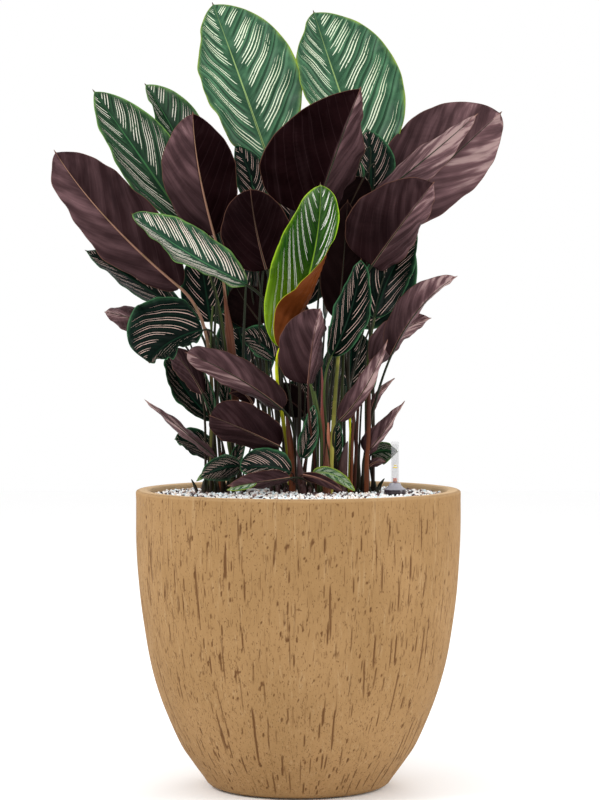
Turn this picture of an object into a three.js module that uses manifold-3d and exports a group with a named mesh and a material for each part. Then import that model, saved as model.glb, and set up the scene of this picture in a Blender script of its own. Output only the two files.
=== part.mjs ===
// A potted calathea: a tapered planter, its fill, a water gauge and the plant's leaves.
// Millimetres, +Z up, origin on the planter's axis at the plane it stands on. The viewer stands at -Y.
import * as THREE from 'three';
import { mergeVertices } from 'three/addons/utils/BufferGeometryUtils.js';
import Module from 'manifold-3d';

const wasm = await Module();
wasm.setup();

// ---------- driving dimensions ----------
const POT = { height: 445, radius: 244, baseRadius: 118, rimWall: 22, wall: 13, floor: 16 };
const GAP = 0.3;            // clearance between touching pieces
const SEGMENTS = 36;        // round pieces
const LAYER_TOP = { drainage: 74, soil: 408, gravelWall: 434.5, gravelMiddle: 439.5 };
const CROWN_TOP = 440;
const GAUGE = {
  x: 144, y: -35, guideRadius: 11, guideBore: 9, guideBase: 78, collarRadius: 16.2, collarBase: 440.2,
  collarBand: 447, collarTop: 456.5, tubeRadius: 6, tubeBore: 4.6, tubeTop: 514, capTop: 518,
};
const FLOAT = { radius: 7.4, base: 84, top: 146, rod: 1.3, mark: 3.4, markBase: 458, markTop: 464 };
const EYE = { distance: 3900, height: 688 };   // where the leaf layout below is seen from
const PETIOLE = { foot: 3.5, neck: 2.3 };      // radii
const LAMINA = { rib: 1.1, half: 0.7 };        // half-thicknesses at the midrib and half-way out

// ---------- materials ----------
const finish = (color, roughness, metalness = 0) =>
  new THREE.MeshStandardMaterial({ color, roughness, metalness });
const SAND = () => finish(0xb58d58, 0.8);
const SOIL = () => finish(0x3a2a1e, 1);
const CLAY_BALLS = () => finish(0x8a5a3c, 0.95);
const GRAVEL = () => finish(0xc9c6c2, 0.85);
const CROWN = () => finish(0x3d2a22, 0.8);
const CLEAR = () => finish(0xdfe6e8, 0.15);
const DARK_PLASTIC = () => finish(0x33363a, 0.4);
const RED_PLASTIC = () => finish(0xc8401c, 0.4);
const UPPER = () => finish(0x1f5a3a, 0.45);
const UNDER = () => finish(0x3b2229, 0.5);
const YOUNG = () => finish(0x8fbf2f, 0.4);
const SHEATH = () => finish(0x5a3430, 0.6);

const part = new THREE.Group();

function add(name, geometry, material) {
  const mesh = new THREE.Mesh(geometry, material);
  mesh.name = name;
  part.add(mesh);
  return mesh;
}

// ---------- solids: join and cut ----------
function toSolid(geometry) {
  const bare = geometry.clone();
  bare.deleteAttribute('normal');
  bare.deleteAttribute('uv');
  const merged = mergeVertices(bare, 1e-4);
  return new wasm.Manifold(new wasm.Mesh({
    numProp: 3,
    vertProperties: new Float32Array(merged.attributes.position.array),
    triVerts: new Uint32Array(merged.index.array),
  }));
}

function toGeometry(solid) {
  const mesh = solid.getMesh();
  const geometry = new THREE.BufferGeometry();
  geometry.setAttribute('position', new THREE.BufferAttribute(mesh.vertProperties, 3));
  geometry.setIndex(new THREE.BufferAttribute(mesh.triVerts, 1));
  geometry.computeVertexNormals();
  return geometry;
}

const cut = (geometry, ...tools) =>
  toGeometry(tools.reduce((solid, tool) => solid.subtract(toSolid(tool)), toSolid(geometry)));

// A turned piece about Z from [radius, height] points, which start and end on the axis or close.
function turned(profile, segments = SEGMENTS) {
  const points = profile.map(([r, z]) => new THREE.Vector2(r, z));
  return new THREE.LatheGeometry(points, segments).rotateX(Math.PI / 2);
}

const rod = (radius, from, to, segments = 20) =>
  turned([[0, from], [radius, from], [radius, to], [0, to]], segments);
const ring = (outer, inner, from, to, segments = 20) =>
  turned([[inner, from], [outer, from], [outer, to], [inner, to], [inner, from]], segments);

// ---------- planter ----------
const OUTLINE = new THREE.SplineCurve([
  [138, 7], [161, 39], [180, 69], [205.5, 129], [223, 189], [233, 249], [240, 309], [243.6, 372], [244, 440],
].map(([r, z]) => new THREE.Vector2(r, z)));
const outerRadius = (z) => {
  const points = OUTLINE.getPoints(60);
  const next = points.findIndex((p) => p.y >= z);
  if (next <= 0) return next === 0 ? points[0].x : POT.radius;
  const [a, b] = [points[next - 1], points[next]];
  return a.x + (b.x - a.x) * (z - a.y) / (b.y - a.y);
};
// The inside wall, as straight stretches between these heights, from the floor's edge up to the thick rim.
const WALL = [POT.floor + 8, 50, 100, 180, 270, 360].map((z) => [outerRadius(z) - POT.wall, z]);
WALL.push([POT.radius - POT.rimWall, 400]);
function innerRadius(z) {
  const next = Math.max(1, WALL.findIndex(([, height]) => height >= z));
  const [[r0, z0], [r1, z1]] = [WALL[next - 1], WALL[next]];
  return z > 400 ? POT.radius - POT.rimWall : r0 + (r1 - r0) * (z - z0) / (z1 - z0);
}

function planter() {
  const edge = 5;
  const inner = POT.radius - POT.rimWall;
  const outside = OUTLINE.getPoints(14).map((p) => [p.x, p.y]);
  return turned([
    [0, 0], [POT.baseRadius, 0], [131, 2],
    ...outside,
    [POT.radius - edge / 3, POT.height - edge / 3], [POT.radius - edge, POT.height],
    [inner + edge, POT.height], [inner, POT.height - edge],
    ...WALL.toReversed(),
    [WALL[0][0] - 14, POT.floor],
    [0, POT.floor],
  ]);
}
add('planter', planter(), SAND());

// ---------- fill ----------
// A layer fills the planter's hollow between two heights, with its side kept clear of the wall.
function layer(from, to) {
  const clear = 1.2;
  const heights = [from, ...WALL.map(([, z]) => z).filter((z) => z > from && z < to), to];
  return turned([[0, from], ...heights.map((z) => [innerRadius(z) - clear, z]), [0, to]]);
}
// The gravel stands inside the thick rim, so its side is straight.
function gravel() {
  const r = POT.radius - POT.rimWall - 1;
  const { soil, gravelWall, gravelMiddle } = LAYER_TOP;
  const dome = [1, 0.8, 0.55, 0.28].map((f) => [r * f, gravelWall + (gravelMiddle - gravelWall) * (1 - f * f)]);
  return turned([[0, soil + GAP], [r, soil + GAP], ...dome, [0, gravelMiddle]]);
}

// Crowns: the short woody bases that the petioles rise from, [x, y, half width, half depth].
const CROWNS = {
  crown_left: [-115, 16, 36, 34],
  crown_middle: [12, 8, 58, 56],
  crown_right: [97, 18, 26, 44],
  crown_back: [0, 122, 74, 34],
};
function crown([x, y, halfWidth, halfDepth], grow = 0, top = CROWN_TOP) {
  const profile = [[0, LAYER_TOP.soil - 30], [0.7, LAYER_TOP.soil - 30], [1, LAYER_TOP.soil], [1, top - 3],
    [0.93, top], [0, top]];
  return turned(profile, 24).scale(halfWidth + grow, halfDepth + grow, 1).translate(x, y, 0);
}
// The holes for a crown are its own shape, grown by the gap and open at the top.
const crownHole = (spec) => crown(spec, GAP, CROWN_TOP + 20).translate(0, 0, -GAP);
const crownHoles = Object.values(CROWNS).map(crownHole);
const gaugeHole = rod(GAUGE.guideRadius + GAP, LAYER_TOP.drainage + 1, 460).translate(GAUGE.x, GAUGE.y, 0);

add('drainage_layer', layer(POT.floor + 9, LAYER_TOP.drainage), CLAY_BALLS());
add('potting_soil', cut(layer(LAYER_TOP.drainage + 2, LAYER_TOP.soil), gaugeHole, ...crownHoles), SOIL());
add('gravel_layer', cut(gravel(), gaugeHole, ...crownHoles), GRAVEL());
for (const [name, spec] of Object.entries(CROWNS)) {
  add(name, crown(spec), CROWN());
}

// ---------- water gauge ----------
const atGauge = (geometry) => geometry.translate(GAUGE.x, GAUGE.y, 0);
add('gauge_guide_tube',
  atGauge(ring(GAUGE.guideRadius, GAUGE.guideBore, GAUGE.guideBase, GAUGE.collarBase - GAP)), DARK_PLASTIC());
add('gauge_collar', atGauge(turned([
  [GAUGE.tubeRadius + GAP, GAUGE.collarBase], [GAUGE.collarRadius, GAUGE.collarBase],
  [GAUGE.collarRadius, GAUGE.collarBand], [GAUGE.collarRadius - 3, GAUGE.collarBand + 2],
  [GAUGE.tubeRadius + 2.5, GAUGE.collarTop - 2], [GAUGE.tubeRadius + 1.8, GAUGE.collarTop],
  [GAUGE.tubeRadius + GAP, GAUGE.collarTop], [GAUGE.tubeRadius + GAP, GAUGE.collarBase],
], 24)), DARK_PLASTIC());
add('gauge_sight_tube',
  atGauge(ring(GAUGE.tubeRadius, GAUGE.tubeBore, GAUGE.collarBase, GAUGE.tubeTop)), CLEAR());
add('gauge_cap', atGauge(turned([
  [0, GAUGE.tubeTop + GAP], [GAUGE.tubeRadius, GAUGE.tubeTop + GAP], [GAUGE.tubeRadius, GAUGE.capTop - 1],
  [GAUGE.tubeRadius - 1, GAUGE.capTop], [0, GAUGE.capTop],
], 20)), CLEAR());
add('gauge_float', atGauge(turned([
  [0, FLOAT.base], [FLOAT.radius, FLOAT.base], [FLOAT.radius, FLOAT.top - 6], [FLOAT.rod, FLOAT.top],
  [FLOAT.rod, FLOAT.markBase - 2], [FLOAT.mark, FLOAT.markBase], [FLOAT.mark, FLOAT.markTop], [0, FLOAT.markTop + 2],
], 12)), RED_PLASTIC());

// ---------- leaves ----------
// A leaf is laid out as it is seen from the eye: across and up on the plane through the planter's axis, and
// how far behind that plane it lies. This gives the real place of such a point.
function seen(across, up, depth) {
  const k = (EYE.distance + depth) / EYE.distance;
  return new THREE.Vector3(across * k, depth, EYE.height + (up - EYE.height) * k);
}

const mix = (a, b, t) => a + (b - a) * t;
const radians = THREE.MathUtils.degToRad;

// Three points of a midrib, base, middle and tip, joined by a parabola.
function ribPoint(rib, v) {
  const weights = [(1 - v) * (1 - 2 * v), 4 * v * (1 - v), v * (2 * v - 1)];
  return [0, 1, 2].map((axis) => rib.reduce((sum, point, i) => sum + point[axis] * weights[i], 0));
}

// How wide the blade is at v along it, 1 at its widest: round at the base, drawn out to the tip.
function fullness([base, tip], v) {
  const widest = base / (base + tip);
  const peak = widest ** base * (1 - widest) ** tip;
  return v <= 0 || v >= 1 ? 0 : (v ** base * (1 - v) ** tip) / peak;
}

// The value at v along a list of evenly spaced ones.
function between(values, v) {
  const at = Math.min(Math.max(v, 0), 1) * (values.length - 1);
  const i = Math.min(Math.floor(at), values.length - 2);
  return mix(values[i], values[i + 1], at - i);
}

// A point of the blade: u runs from the left margin (-1) over the midrib (0) to the right margin (1). Each
// half leaves the midrib at its tilt, and bends by its curl on the way out. Degrees away from the eye.
// A young leaf's right half still has its roll: it bends within the share of it nearest the midrib.
function bladePoint(leaf, u, v) {
  const [across, up, depth] = ribPoint(leaf.rib, v);
  const [nextAcross, nextUp] = ribPoint(leaf.rib, v + 0.01);
  const length = Math.hypot(nextAcross - across, nextUp - up);
  const side = u < 0 ? 0 : 1;
  const tilt = radians(mix(leaf.tilt[side], (leaf.tipTilt ?? leaf.tilt)[side], v));
  const rolled = side ? leaf.roll : undefined;
  const curls = rolled?.curls ?? [leaf.curl[side], (leaf.tipCurl ?? leaf.curl)[side]];
  const curl = radians(between(curls, v)) || 1e-3;
  const share = rolled?.share ?? 1;
  const width = leaf.half[side] * fullness(leaf.full, v);
  const out = Math.abs(u);
  const end = tilt + curl * Math.min(out / share, 1);
  const straight = Math.max(out - share, 0);
  const reach = width * (share * (Math.sin(end) - Math.sin(tilt)) / curl + straight * Math.cos(end));
  const back = width * (share * (Math.cos(tilt) - Math.cos(end)) / curl + straight * Math.sin(end));
  const turn = side ? 1 : -1;
  return seen(
    across + turn * reach * (nextUp - up) / length,
    up - turn * reach * (nextAcross - across) / length,
    depth + back,
  );
}

// Closes a list of rings, each the same number of points, into a solid with a point at each end.
function skin(rings, start, end) {
  const count = rings[0].length;
  const points = [start, ...rings.flat(), end];
  const at = (i, j) => 1 + i * count + (j % count);
  const faces = [];
  for (let j = 0; j < count; j++) {
    faces.push(0, at(0, j + 1), at(0, j));
    for (let i = 0; i + 1 < rings.length; i++) {
      faces.push(at(i, j), at(i, j + 1), at(i + 1, j), at(i, j + 1), at(i + 1, j + 1), at(i + 1, j));
    }
    faces.push(points.length - 1, at(rings.length - 1, j), at(rings.length - 1, j + 1));
  }
  const geometry = new THREE.BufferGeometry().setFromPoints(points);
  geometry.setIndex(faces);
  const inward = toSolid(geometry).volume() < 0;
  if (inward) {
    geometry.setIndex(faces.reverse());
  }
  geometry.computeVertexNormals();
  return geometry;
}

// Points round a stalk at its centre, the first one on its left side.
function stalkRing(centre, direction, left, radius, count = 8) {
  const front = new THREE.Vector3().crossVectors(direction, left).normalize();
  const side = new THREE.Vector3().crossVectors(front, direction).normalize();
  return Array.from({ length: count }, (_, k) => {
    const angle = 2 * Math.PI * k / count;
    return centre.clone().addScaledVector(side, radius * Math.cos(angle))
      .addScaledVector(front, radius * Math.sin(angle));
  });
}

const BLADE_ROWS = [0.05, 0.16, 0.32, 0.5, 0.68, 0.85, 0.96];
// Where each row has its points, from margin to margin.
const COLUMNS = [-1, -0.5, 0, 0.5, 1];
const ROLLED_COLUMNS = [-1, -0.5, 0, 0.17, 0.34, 0.5, 1];
const STALK_ROWS = [0, 0.2, 0.4, 0.6, 0.8, 0.97];

// A whole leaf, petiole and blade in one piece. The petiole rises from its foot on a crown, [x, y], and bends
// over to meet the midrib; its bend is how long it holds its first and last directions.
function leafGeometry(leaf) {
  const base = bladePoint(leaf, 0, 0);
  const foot = new THREE.Vector3(leaf.foot[0], leaf.foot[1], CROWN_TOP + GAP);
  const along = bladePoint(leaf, 0, 0.04).sub(base).normalize();
  const rise = foot.distanceTo(base);
  const [first, last] = leaf.bend;
  const path = new THREE.CubicBezierCurve3(
    foot,
    foot.clone().add(new THREE.Vector3(0, 0, rise * first)),
    base.clone().addScaledVector(along, -rise * last),
    base,
  );
  const left = bladePoint(leaf, -0.5, 0.05).sub(bladePoint(leaf, 0.5, 0.05)).normalize();
  const columns = leaf.roll ? ROLLED_COLUMNS : COLUMNS;
  const edge = columns.length - 1;
  const rings = STALK_ROWS.map((t) =>
    stalkRing(path.getPoint(t), path.getTangent(t), left, mix(PETIOLE.foot, PETIOLE.neck, t), 2 * edge));
  const inner = columns.slice(1, -1).map((u, i) => [i + 1, u === 0 ? LAMINA.rib : LAMINA.half]);
  for (const v of BLADE_ROWS) {
    const row = columns.map((u) => bladePoint(leaf, u, v));
    const ahead = bladePoint(leaf, 0, v + 0.02).sub(bladePoint(leaf, 0, v));
    const normal = (i) => new THREE.Vector3().crossVectors(row[i + 1].clone().sub(row[i - 1]), ahead).normalize();
    const offset = ([i, by], turn) => row[i].clone().addScaledVector(normal(i), by * turn);
    rings.push([row[0], ...inner.map((place) => offset(place, 1)), row[edge],
      ...inner.toReversed().map((place) => offset(place, -1))]);
  }
  return skin(rings, foot, bladePoint(leaf, 0, 1));
}

const LEAF_DEFAULTS = { tilt: [0, 0], curl: [0, 0], full: [0.55, 0.75], bend: [0.4, 0.28] };
const leaf = (name, material, spec) =>
  add(name, leafGeometry({ ...LEAF_DEFAULTS, ...spec }), material());

// Each leaf: foot of its petiole, midrib base, middle and tip as [across, up, depth], and half widths.
leaf('leaf_top_left', UPPER, {
  foot: [-34, 116], rib: [[-45, 939, 120], [-90, 1068, 145], [-129, 1174, 185]],
  half: [76, 90], tilt: [-34, -6], curl: [-16, -10], full: [0.55, 0.68],
});
leaf('leaf_top_right', UPPER, {
  foot: [22, 124], rib: [[104, 922, 138], [56, 1058, 160], [22, 1162, 195]],
  half: [78, 96], tilt: [-40, -4], curl: [-14, -10], full: [0.5, 0.66],
});
leaf('leaf_top_middle', UNDER, {
  foot: [26, 40], rib: [[24, 852, 28], [60, 958, 0], [94, 1048, -45]],
  half: [104, 62], tilt: [2, 44], curl: [12, 10], full: [0.3, 0.8],
});
leaf('leaf_dark_round', UNDER, {
  foot: [-22, 34], rib: [[-48, 774, 5], [-63, 834, -15], [-72, 897, -42]],
  half: [56, 54], tilt: [8, 8], curl: [20, 20], full: [0.5, 0.55],
});
leaf('leaf_upper_left_back', UPPER, {
  foot: [-56, 112], rib: [[-155, 916, 110], [-192, 991, 128], [-230, 1053, 155]],
  half: [40, 46], tilt: [-62, -8], curl: [-8, -8],
});
leaf('leaf_upper_left', UPPER, {
  foot: [-100, 46], rib: [[-170, 846, 62], [-242, 951, 80], [-308, 1044, 105]],
  half: [50, 56], tilt: [-38, -6], curl: [-10, -6],
});
leaf('leaf_left_middle', UNDER, {
  foot: [-100, 22], rib: [[-126, 826, 38], [-149, 924, 22], [-158, 1011, -2]],
  half: [58, 58], tilt: [8, 8], curl: [16, 16], full: [0.6, 0.7],
});
leaf('leaf_far_left', UNDER, {
  foot: [-131, 3], rib: [[-177, 747, -5], [-288, 852, -38], [-366, 954, -60]],
  half: [47, 66], tilt: [14, 8], curl: [18, 18], full: [0.5, 0.6],
});
leaf('leaf_striped_left', UPPER, {
  foot: [-36, -2], rib: [[-77, 751, -62], [-165, 799, -98], [-252, 860, -112]],
  half: [44, 42], tilt: [-62, 12], curl: [-12, 10], full: [0.6, 0.6],
});
leaf('leaf_curled_left', UPPER, {
  foot: [-136, 26], rib: [[-170, 706, 34], [-252, 762, 48], [-320, 804, 56]],
  half: [36, 38], tilt: [-55, 40], curl: [-16, 14],
});
leaf('leaf_round_left', UPPER, {
  foot: [-131, -14], rib: [[-143, 684, -28], [-195, 664, -58], [-224, 634, -100]],
  half: [52, 74], tilt: [-66, 6], curl: [-6, 12], full: [0.5, 0.5], bend: [0.5, 0.2],
});
leaf('leaf_small_left', UNDER, {
  foot: [-140, 12], rib: [[-200, 684, 22], [-252, 702, 12], [-291, 711, 2]],
  half: [30, 30], tilt: [42, 50], curl: [10, 10],
});
leaf('leaf_behind_left', UPPER, {
  foot: [-119, 45], rib: [[-132, 696, 66], [-140, 751, 76], [-150, 811, 86]],
  half: [38, 34], tilt: [-6, -6], curl: [-6, -6],
});
leaf('leaf_low_long', UNDER, {
  foot: [-6, -8], rib: [[-24, 565, -42], [-90, 612, -62], [-170, 651, -70]],
  half: [34, 34], tilt: [68, 18], curl: [10, 22], tipTilt: [36, 22], tipCurl: [14, 22], full: [0.3, 0.36],
});
leaf('leaf_low_dark', UNDER, {
  foot: [-112, 4], rib: [[-143, 588, -8], [-171, 633, -10], [-195, 654, -10]],
  half: [26, 26], tilt: [40, 40], curl: [10, 10],
});
leaf('leaf_new_bright', YOUNG, {
  foot: [-12, 14], rib: [[-27, 657, -52], [20, 782, -74], [33, 906, -58]],
  half: [66, 72], tilt: [-8, -10], curl: [-20, 0], tipTilt: [-30, -32], tipCurl: [-20, 0],
  roll: { share: 0.5, curls: [-168, -172, -112, -84, -52, -30, -14] },
  full: [0.5, 0.56], bend: [0.4, 0.2],
});
leaf('leaf_low_striped', UPPER, {
  foot: [-114, 32], rib: [[-129, 549, 37], [-174, 601, 50], [-195, 651, 54]],
  half: [34, 40], tilt: [-50, -20], curl: [-10, -8],
});
leaf('leaf_thin_left', UNDER, {
  foot: [-114, -16], rib: [[-121, 490, -36], [-174, 534, -50], [-231, 580, -64]],
  half: [28, 28], tilt: [72, 72], curl: [6, 6], bend: [0.35, 0.2],
});
leaf('leaf_small_low_left', UPPER, {
  foot: [-134, 38], rib: [[-128, 489, 40], [-160, 514, 34], [-186, 520, 24]],
  half: [28, 28], tilt: [-58, 24], curl: [-8, 8], bend: [0.35, 0.2],
});
leaf('leaf_low_broad', UNDER, {
  foot: [-20, -22], rib: [[-28, 509, -38], [-80, 534, -72], [-134, 556, -86]],
  half: [36, 42], tilt: [54, 16], curl: [14, 18], tipTilt: [24, 10], tipCurl: [14, 18], full: [0.34, 0.3],
  bend: [0.4, 0.2],
});
leaf('leaf_low_round', UPPER, {
  foot: [-8, -20], rib: [[-11, 470, -41], [-50, 479, -76], [-89, 474, -100]],
  half: [30, 32], tilt: [-48, 20], curl: [-8, 12], full: [0.5, 0.55], bend: [0.5, 0.25],
});
leaf('leaf_low_hanging', UNDER, {
  foot: [-98, -8], rib: [[-86, 480, -48], [-117, 476, -82], [-148, 462, -104]],
  half: [26, 24], tilt: [36, 34], curl: [8, 8], bend: [0.4, 0.3],
});
leaf('leaf_lying', UNDER, {
  foot: [22, -38], rib: [[-12, 462, -84], [-58, 456, -118], [-107, 450, -146]],
  half: [22, 20], tilt: [60, 30], curl: [8, 8], bend: [0.4, 0.3],
});
leaf('leaf_front_middle', UNDER, {
  foot: [27, -14], rib: [[15, 603, -78], [22, 666, -108], [33, 717, -130]],
  half: [54, 44], tilt: [8, 60], curl: [22, 16], full: [0.36, 0.56],
});
leaf('leaf_striped_right', UPPER, {
  foot: [50, -4], rib: [[50, 645, -58], [80, 718, -84], [94, 792, -80]],
  half: [36, 38], tilt: [-42, -34], curl: [-10, -12],
});
leaf('leaf_small_upper_right', UPPER, {
  foot: [50, 99], rib: [[109, 894, 84], [108, 939, 88], [103, 986, 94]],
  half: [34, 38], tilt: [-24, -10], curl: [-8, -8], bend: [0.42, 0.3],
});
leaf('leaf_large_right', UNDER, {
  foot: [61, 109], rib: [[130, 846, 104], [224, 936, 104], [305, 1011, 84]],
  half: [86, 58], tilt: [6, 8], curl: [10, 16], full: [0.5, 0.6],
});
leaf('leaf_folded_right', UNDER, {
  foot: [92, 40], rib: [[112, 879, 44], [189, 939, 20], [269, 1008, 8]],
  half: [40, 40], tilt: [58, 42], curl: [8, 10],
});
leaf('leaf_middle_right', UNDER, {
  foot: [82, 22], rib: [[110, 780, 0], [159, 848, -26], [204, 906, -42]],
  half: [76, 46], tilt: [6, 40], curl: [16, 14], full: [0.28, 0.62],
});
leaf('leaf_behind_right', UPPER, {
  foot: [104, 44], rib: [[115, 702, 36], [140, 771, 44], [180, 834, 52]],
  half: [40, 40], tilt: [-20, -36], curl: [-8, -8],
});
leaf('leaf_right', UNDER, {
  foot: [96, 2], rib: [[139, 645, -22], [182, 717, -46], [239, 765, -62]],
  half: [36, 32], tilt: [18, 80], curl: [16, 8],
});
leaf('leaf_right_back', UNDER, {
  foot: [106, 14], rib: [[115, 627, 4], [148, 676, -2], [200, 702, -8]],
  half: [36, 34], tilt: [34, 60], curl: [8, 8],
});
leaf('leaf_low_right', UNDER, {
  foot: [62, -16], rib: [[62, 548, -60], [102, 600, -78], [134, 670, -76]],
  half: [24, 16], tilt: [34, 46], curl: [10, 10], full: [0.4, 0.8],
});
leaf('leaf_small_right', UNDER, {
  foot: [98, -12], rib: [[102, 499, -22], [126, 528, -32], [160, 578, -24]],
  half: [27, 18], tilt: [34, 62], curl: [10, 10], full: [0.35, 0.9], bend: [0.35, 0.25],
});
leaf('leaf_by_gauge', UPPER, {
  foot: [114, 44], rib: [[110, 498, 28], [128, 504, 12], [150, 501, 6]],
  half: [20, 24], tilt: [-50, 20], curl: [-6, 6], bend: [0.4, 0.25],
});
leaf('leaf_low_behind', UNDER, {
  foot: [4, 52], rib: [[11, 556, 54], [-21, 582, 57], [-60, 586, 58]],
  half: [28, 28], tilt: [24, 24], curl: [10, 10],
});
leaf('leaf_small_striped', UPPER, {
  foot: [-4, 48], rib: [[-35, 639, 36], [-60, 666, 38], [-86, 677, 40]],
  half: [24, 28], tilt: [-40, 0], curl: [-6, 6],
});
leaf('leaf_shadow_left', UNDER, {
  foot: [-36, 48], rib: [[-54, 692, 50], [-78, 724, 56], [-95, 752, 60]],
  half: [34, 34], tilt: [10, 10], curl: [10, 10],
});

// The far side of the plant, leaning away from the eye.
leaf('leaf_back_left', UPPER, {
  foot: [-48, 132], rib: [[-80, 690, 165], [-112, 780, 212], [-120, 868, 262]],
  half: [62, 62], tilt: [-14, -14], curl: [-10, -10],
});
leaf('leaf_back_middle', UPPER, {
  foot: [-8, 138], rib: [[4, 720, 160], [0, 820, 205], [-12, 905, 250]],
  half: [66, 66], tilt: [-12, -12], curl: [-10, -10],
});
leaf('leaf_back_right', UPPER, {
  foot: [38, 134], rib: [[84, 690, 170], [124, 772, 214], [146, 850, 258]],
  half: [60, 60], tilt: [-12, -14], curl: [-10, -10],
});
leaf('leaf_back_low', UPPER, {
  foot: [10, 146], rib: [[22, 540, 190], [30, 600, 236], [34, 640, 280]],
  half: [46, 46], tilt: [-16, -16], curl: [-8, -8], bend: [0.4, 0.25],
});
leaf('leaf_back_low_left', UPPER, {
  foot: [-30, 146], rib: [[-62, 590, 186], [-84, 660, 226], [-92, 716, 272]],
  half: [46, 46], tilt: [-16, -16], curl: [-8, -8], bend: [0.4, 0.25],
});
leaf('leaf_back_low_right', UPPER, {
  foot: [50, 132], rib: [[66, 570, 172], [78, 632, 206], [78, 690, 246]],
  half: [46, 46], tilt: [-16, -16], curl: [-8, -8], bend: [0.4, 0.25],
});

// Young leaves still rolled up: a tapering tube from its foot to its top.
function rolledLeaf(footPoint, top, radii) {
  const foot = new THREE.Vector3(...footPoint, CROWN_TOP + GAP);
  const end = seen(...top);
  const path = new THREE.QuadraticBezierCurve3(foot, new THREE.Vector3(foot.x, foot.y, mix(foot.z, end.z, 0.5)), end);
  const left = new THREE.Vector3(-1, 0, 0);
  const rings = radii.map((radius, i) => {
    const t = i / (radii.length - 1) * 0.97;
    return stalkRing(path.getPoint(t), path.getTangent(t), left, radius);
  });
  return skin(rings, foot, end);
}
add('rolled_leaf_left', rolledLeaf([-90, 20], [-112, 747, 16], [3, 4, 6, 7.5, 7]), SHEATH());
add('rolled_leaf_middle', rolledLeaf([40, 14], [34, 642, 6], [4.5, 6, 6.5, 5, 2]), SHEATH());
add('young_shoot', rolledLeaf([6, -40], [-4, 507, -44], [7.5, 7.5, 6, 4, 1.5]), SHEATH());

export default part;
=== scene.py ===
"""A potted calathea in a scratched sand-coloured planter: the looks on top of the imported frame.

The frame is in metres with +Z up. Sizes here are in millimetres, and the leaves repeat the layout of the CAD
model.
"""

import math

import bpy
import numpy as np
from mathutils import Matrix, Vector


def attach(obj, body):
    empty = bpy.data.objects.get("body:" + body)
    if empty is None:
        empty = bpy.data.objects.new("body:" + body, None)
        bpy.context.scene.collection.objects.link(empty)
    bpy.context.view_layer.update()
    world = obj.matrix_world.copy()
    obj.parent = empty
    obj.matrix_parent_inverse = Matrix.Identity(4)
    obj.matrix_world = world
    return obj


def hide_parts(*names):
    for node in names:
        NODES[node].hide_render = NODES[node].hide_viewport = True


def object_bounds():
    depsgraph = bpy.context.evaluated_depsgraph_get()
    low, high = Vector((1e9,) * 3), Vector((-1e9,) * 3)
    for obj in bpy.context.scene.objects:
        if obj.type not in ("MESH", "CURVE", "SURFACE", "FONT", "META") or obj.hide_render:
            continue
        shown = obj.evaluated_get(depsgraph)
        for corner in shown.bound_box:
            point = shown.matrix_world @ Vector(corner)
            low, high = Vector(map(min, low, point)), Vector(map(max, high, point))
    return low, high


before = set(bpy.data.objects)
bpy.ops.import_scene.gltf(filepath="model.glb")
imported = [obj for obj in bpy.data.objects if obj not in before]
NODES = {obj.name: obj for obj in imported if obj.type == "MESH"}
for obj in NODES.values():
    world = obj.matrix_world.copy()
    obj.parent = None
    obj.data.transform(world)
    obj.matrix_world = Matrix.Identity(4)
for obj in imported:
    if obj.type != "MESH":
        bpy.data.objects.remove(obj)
CAD_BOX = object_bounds()
MM = 0.001
TURN = 2 * math.pi

# ---------- dimensions, in millimetres ----------
EYE_DISTANCE, EYE_HEIGHT = 3900.0, 688.0         # the camera's place in front of the planter's axis
AIM = (2.55, 0, 579)
POT_HEIGHT, POT_RADIUS, RIM_WALL = 445.0, 244.0, 22.0
INNER = POT_RADIUS - RIM_WALL
OUTLINE = [(138, 7), (161, 39), (180, 69), (205.5, 129), (223, 189), (233, 249), (240, 309), (243.6, 372),
           (244, 440)]
UNDERSIDE = [(0, 0), (60, 0), (112, 0), (118, 0.2), (128, 1.4), (134, 4)]
# Each ring of the rim is a radius, a height, and a paleness from 0 as on the sides to 1. On the rim top the
# paleness is partly its own colour and partly a painted highlight.
RIM = [(POT_RADIUS - 0.6, 442.2, 0.15), (POT_RADIUS - 1.8, 443.8, 0.15), (POT_RADIUS - 3.6, 444.7, 0.15),
       (POT_RADIUS - 6, POT_HEIGHT, 0.8), (INNER + 6, POT_HEIGHT, 0.8), (INNER + 3, 444.5, 0.8),
       (INNER + 1.2, 443.2, 1), (INNER + 0.3, 440.5, 1)]
INSIDE = [(INNER, 432), (INNER, 415), (INNER, 400), (228, 360), (223, 270), (207, 180), (180, 100), (155, 50),
          (137, 24), (122, 16), (0, 16)]
MOULD_LINE = 430                  # height of the faint seam under the rim
GRAVEL_EDGE, GRAVEL_DOME, DOME_RADIUS = 434.5, 5, 221       # height at the wall, and rise to the middle
CHIP_PITCH, ROW_PITCH = 6.2, 6.2 * 0.866         # the first course of chips lies in rows 60 degrees apart
# Each crown is x, y, half the width and half the depth.
CROWNS = [(-115, 16, 36, 34), (12, 8, 58, 56), (97, 18, 26, 44), (0, 122, 74, 34)]
CROWN_TOP = 440.3
LEAF_FOOT, STEM_FOOT, STUMP_FOOT = CROWN_TOP - 4, 436, CROWN_TOP - 6           # all start inside a crown
GAUGE = (144.0, -35.0)
GAUGE_CLEARANCE = 19.5            # no chip lies closer to the gauge's axis
CLEAR_OF_BOX = 0.05               # leaves keep this far inside the CAD model's box


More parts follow.
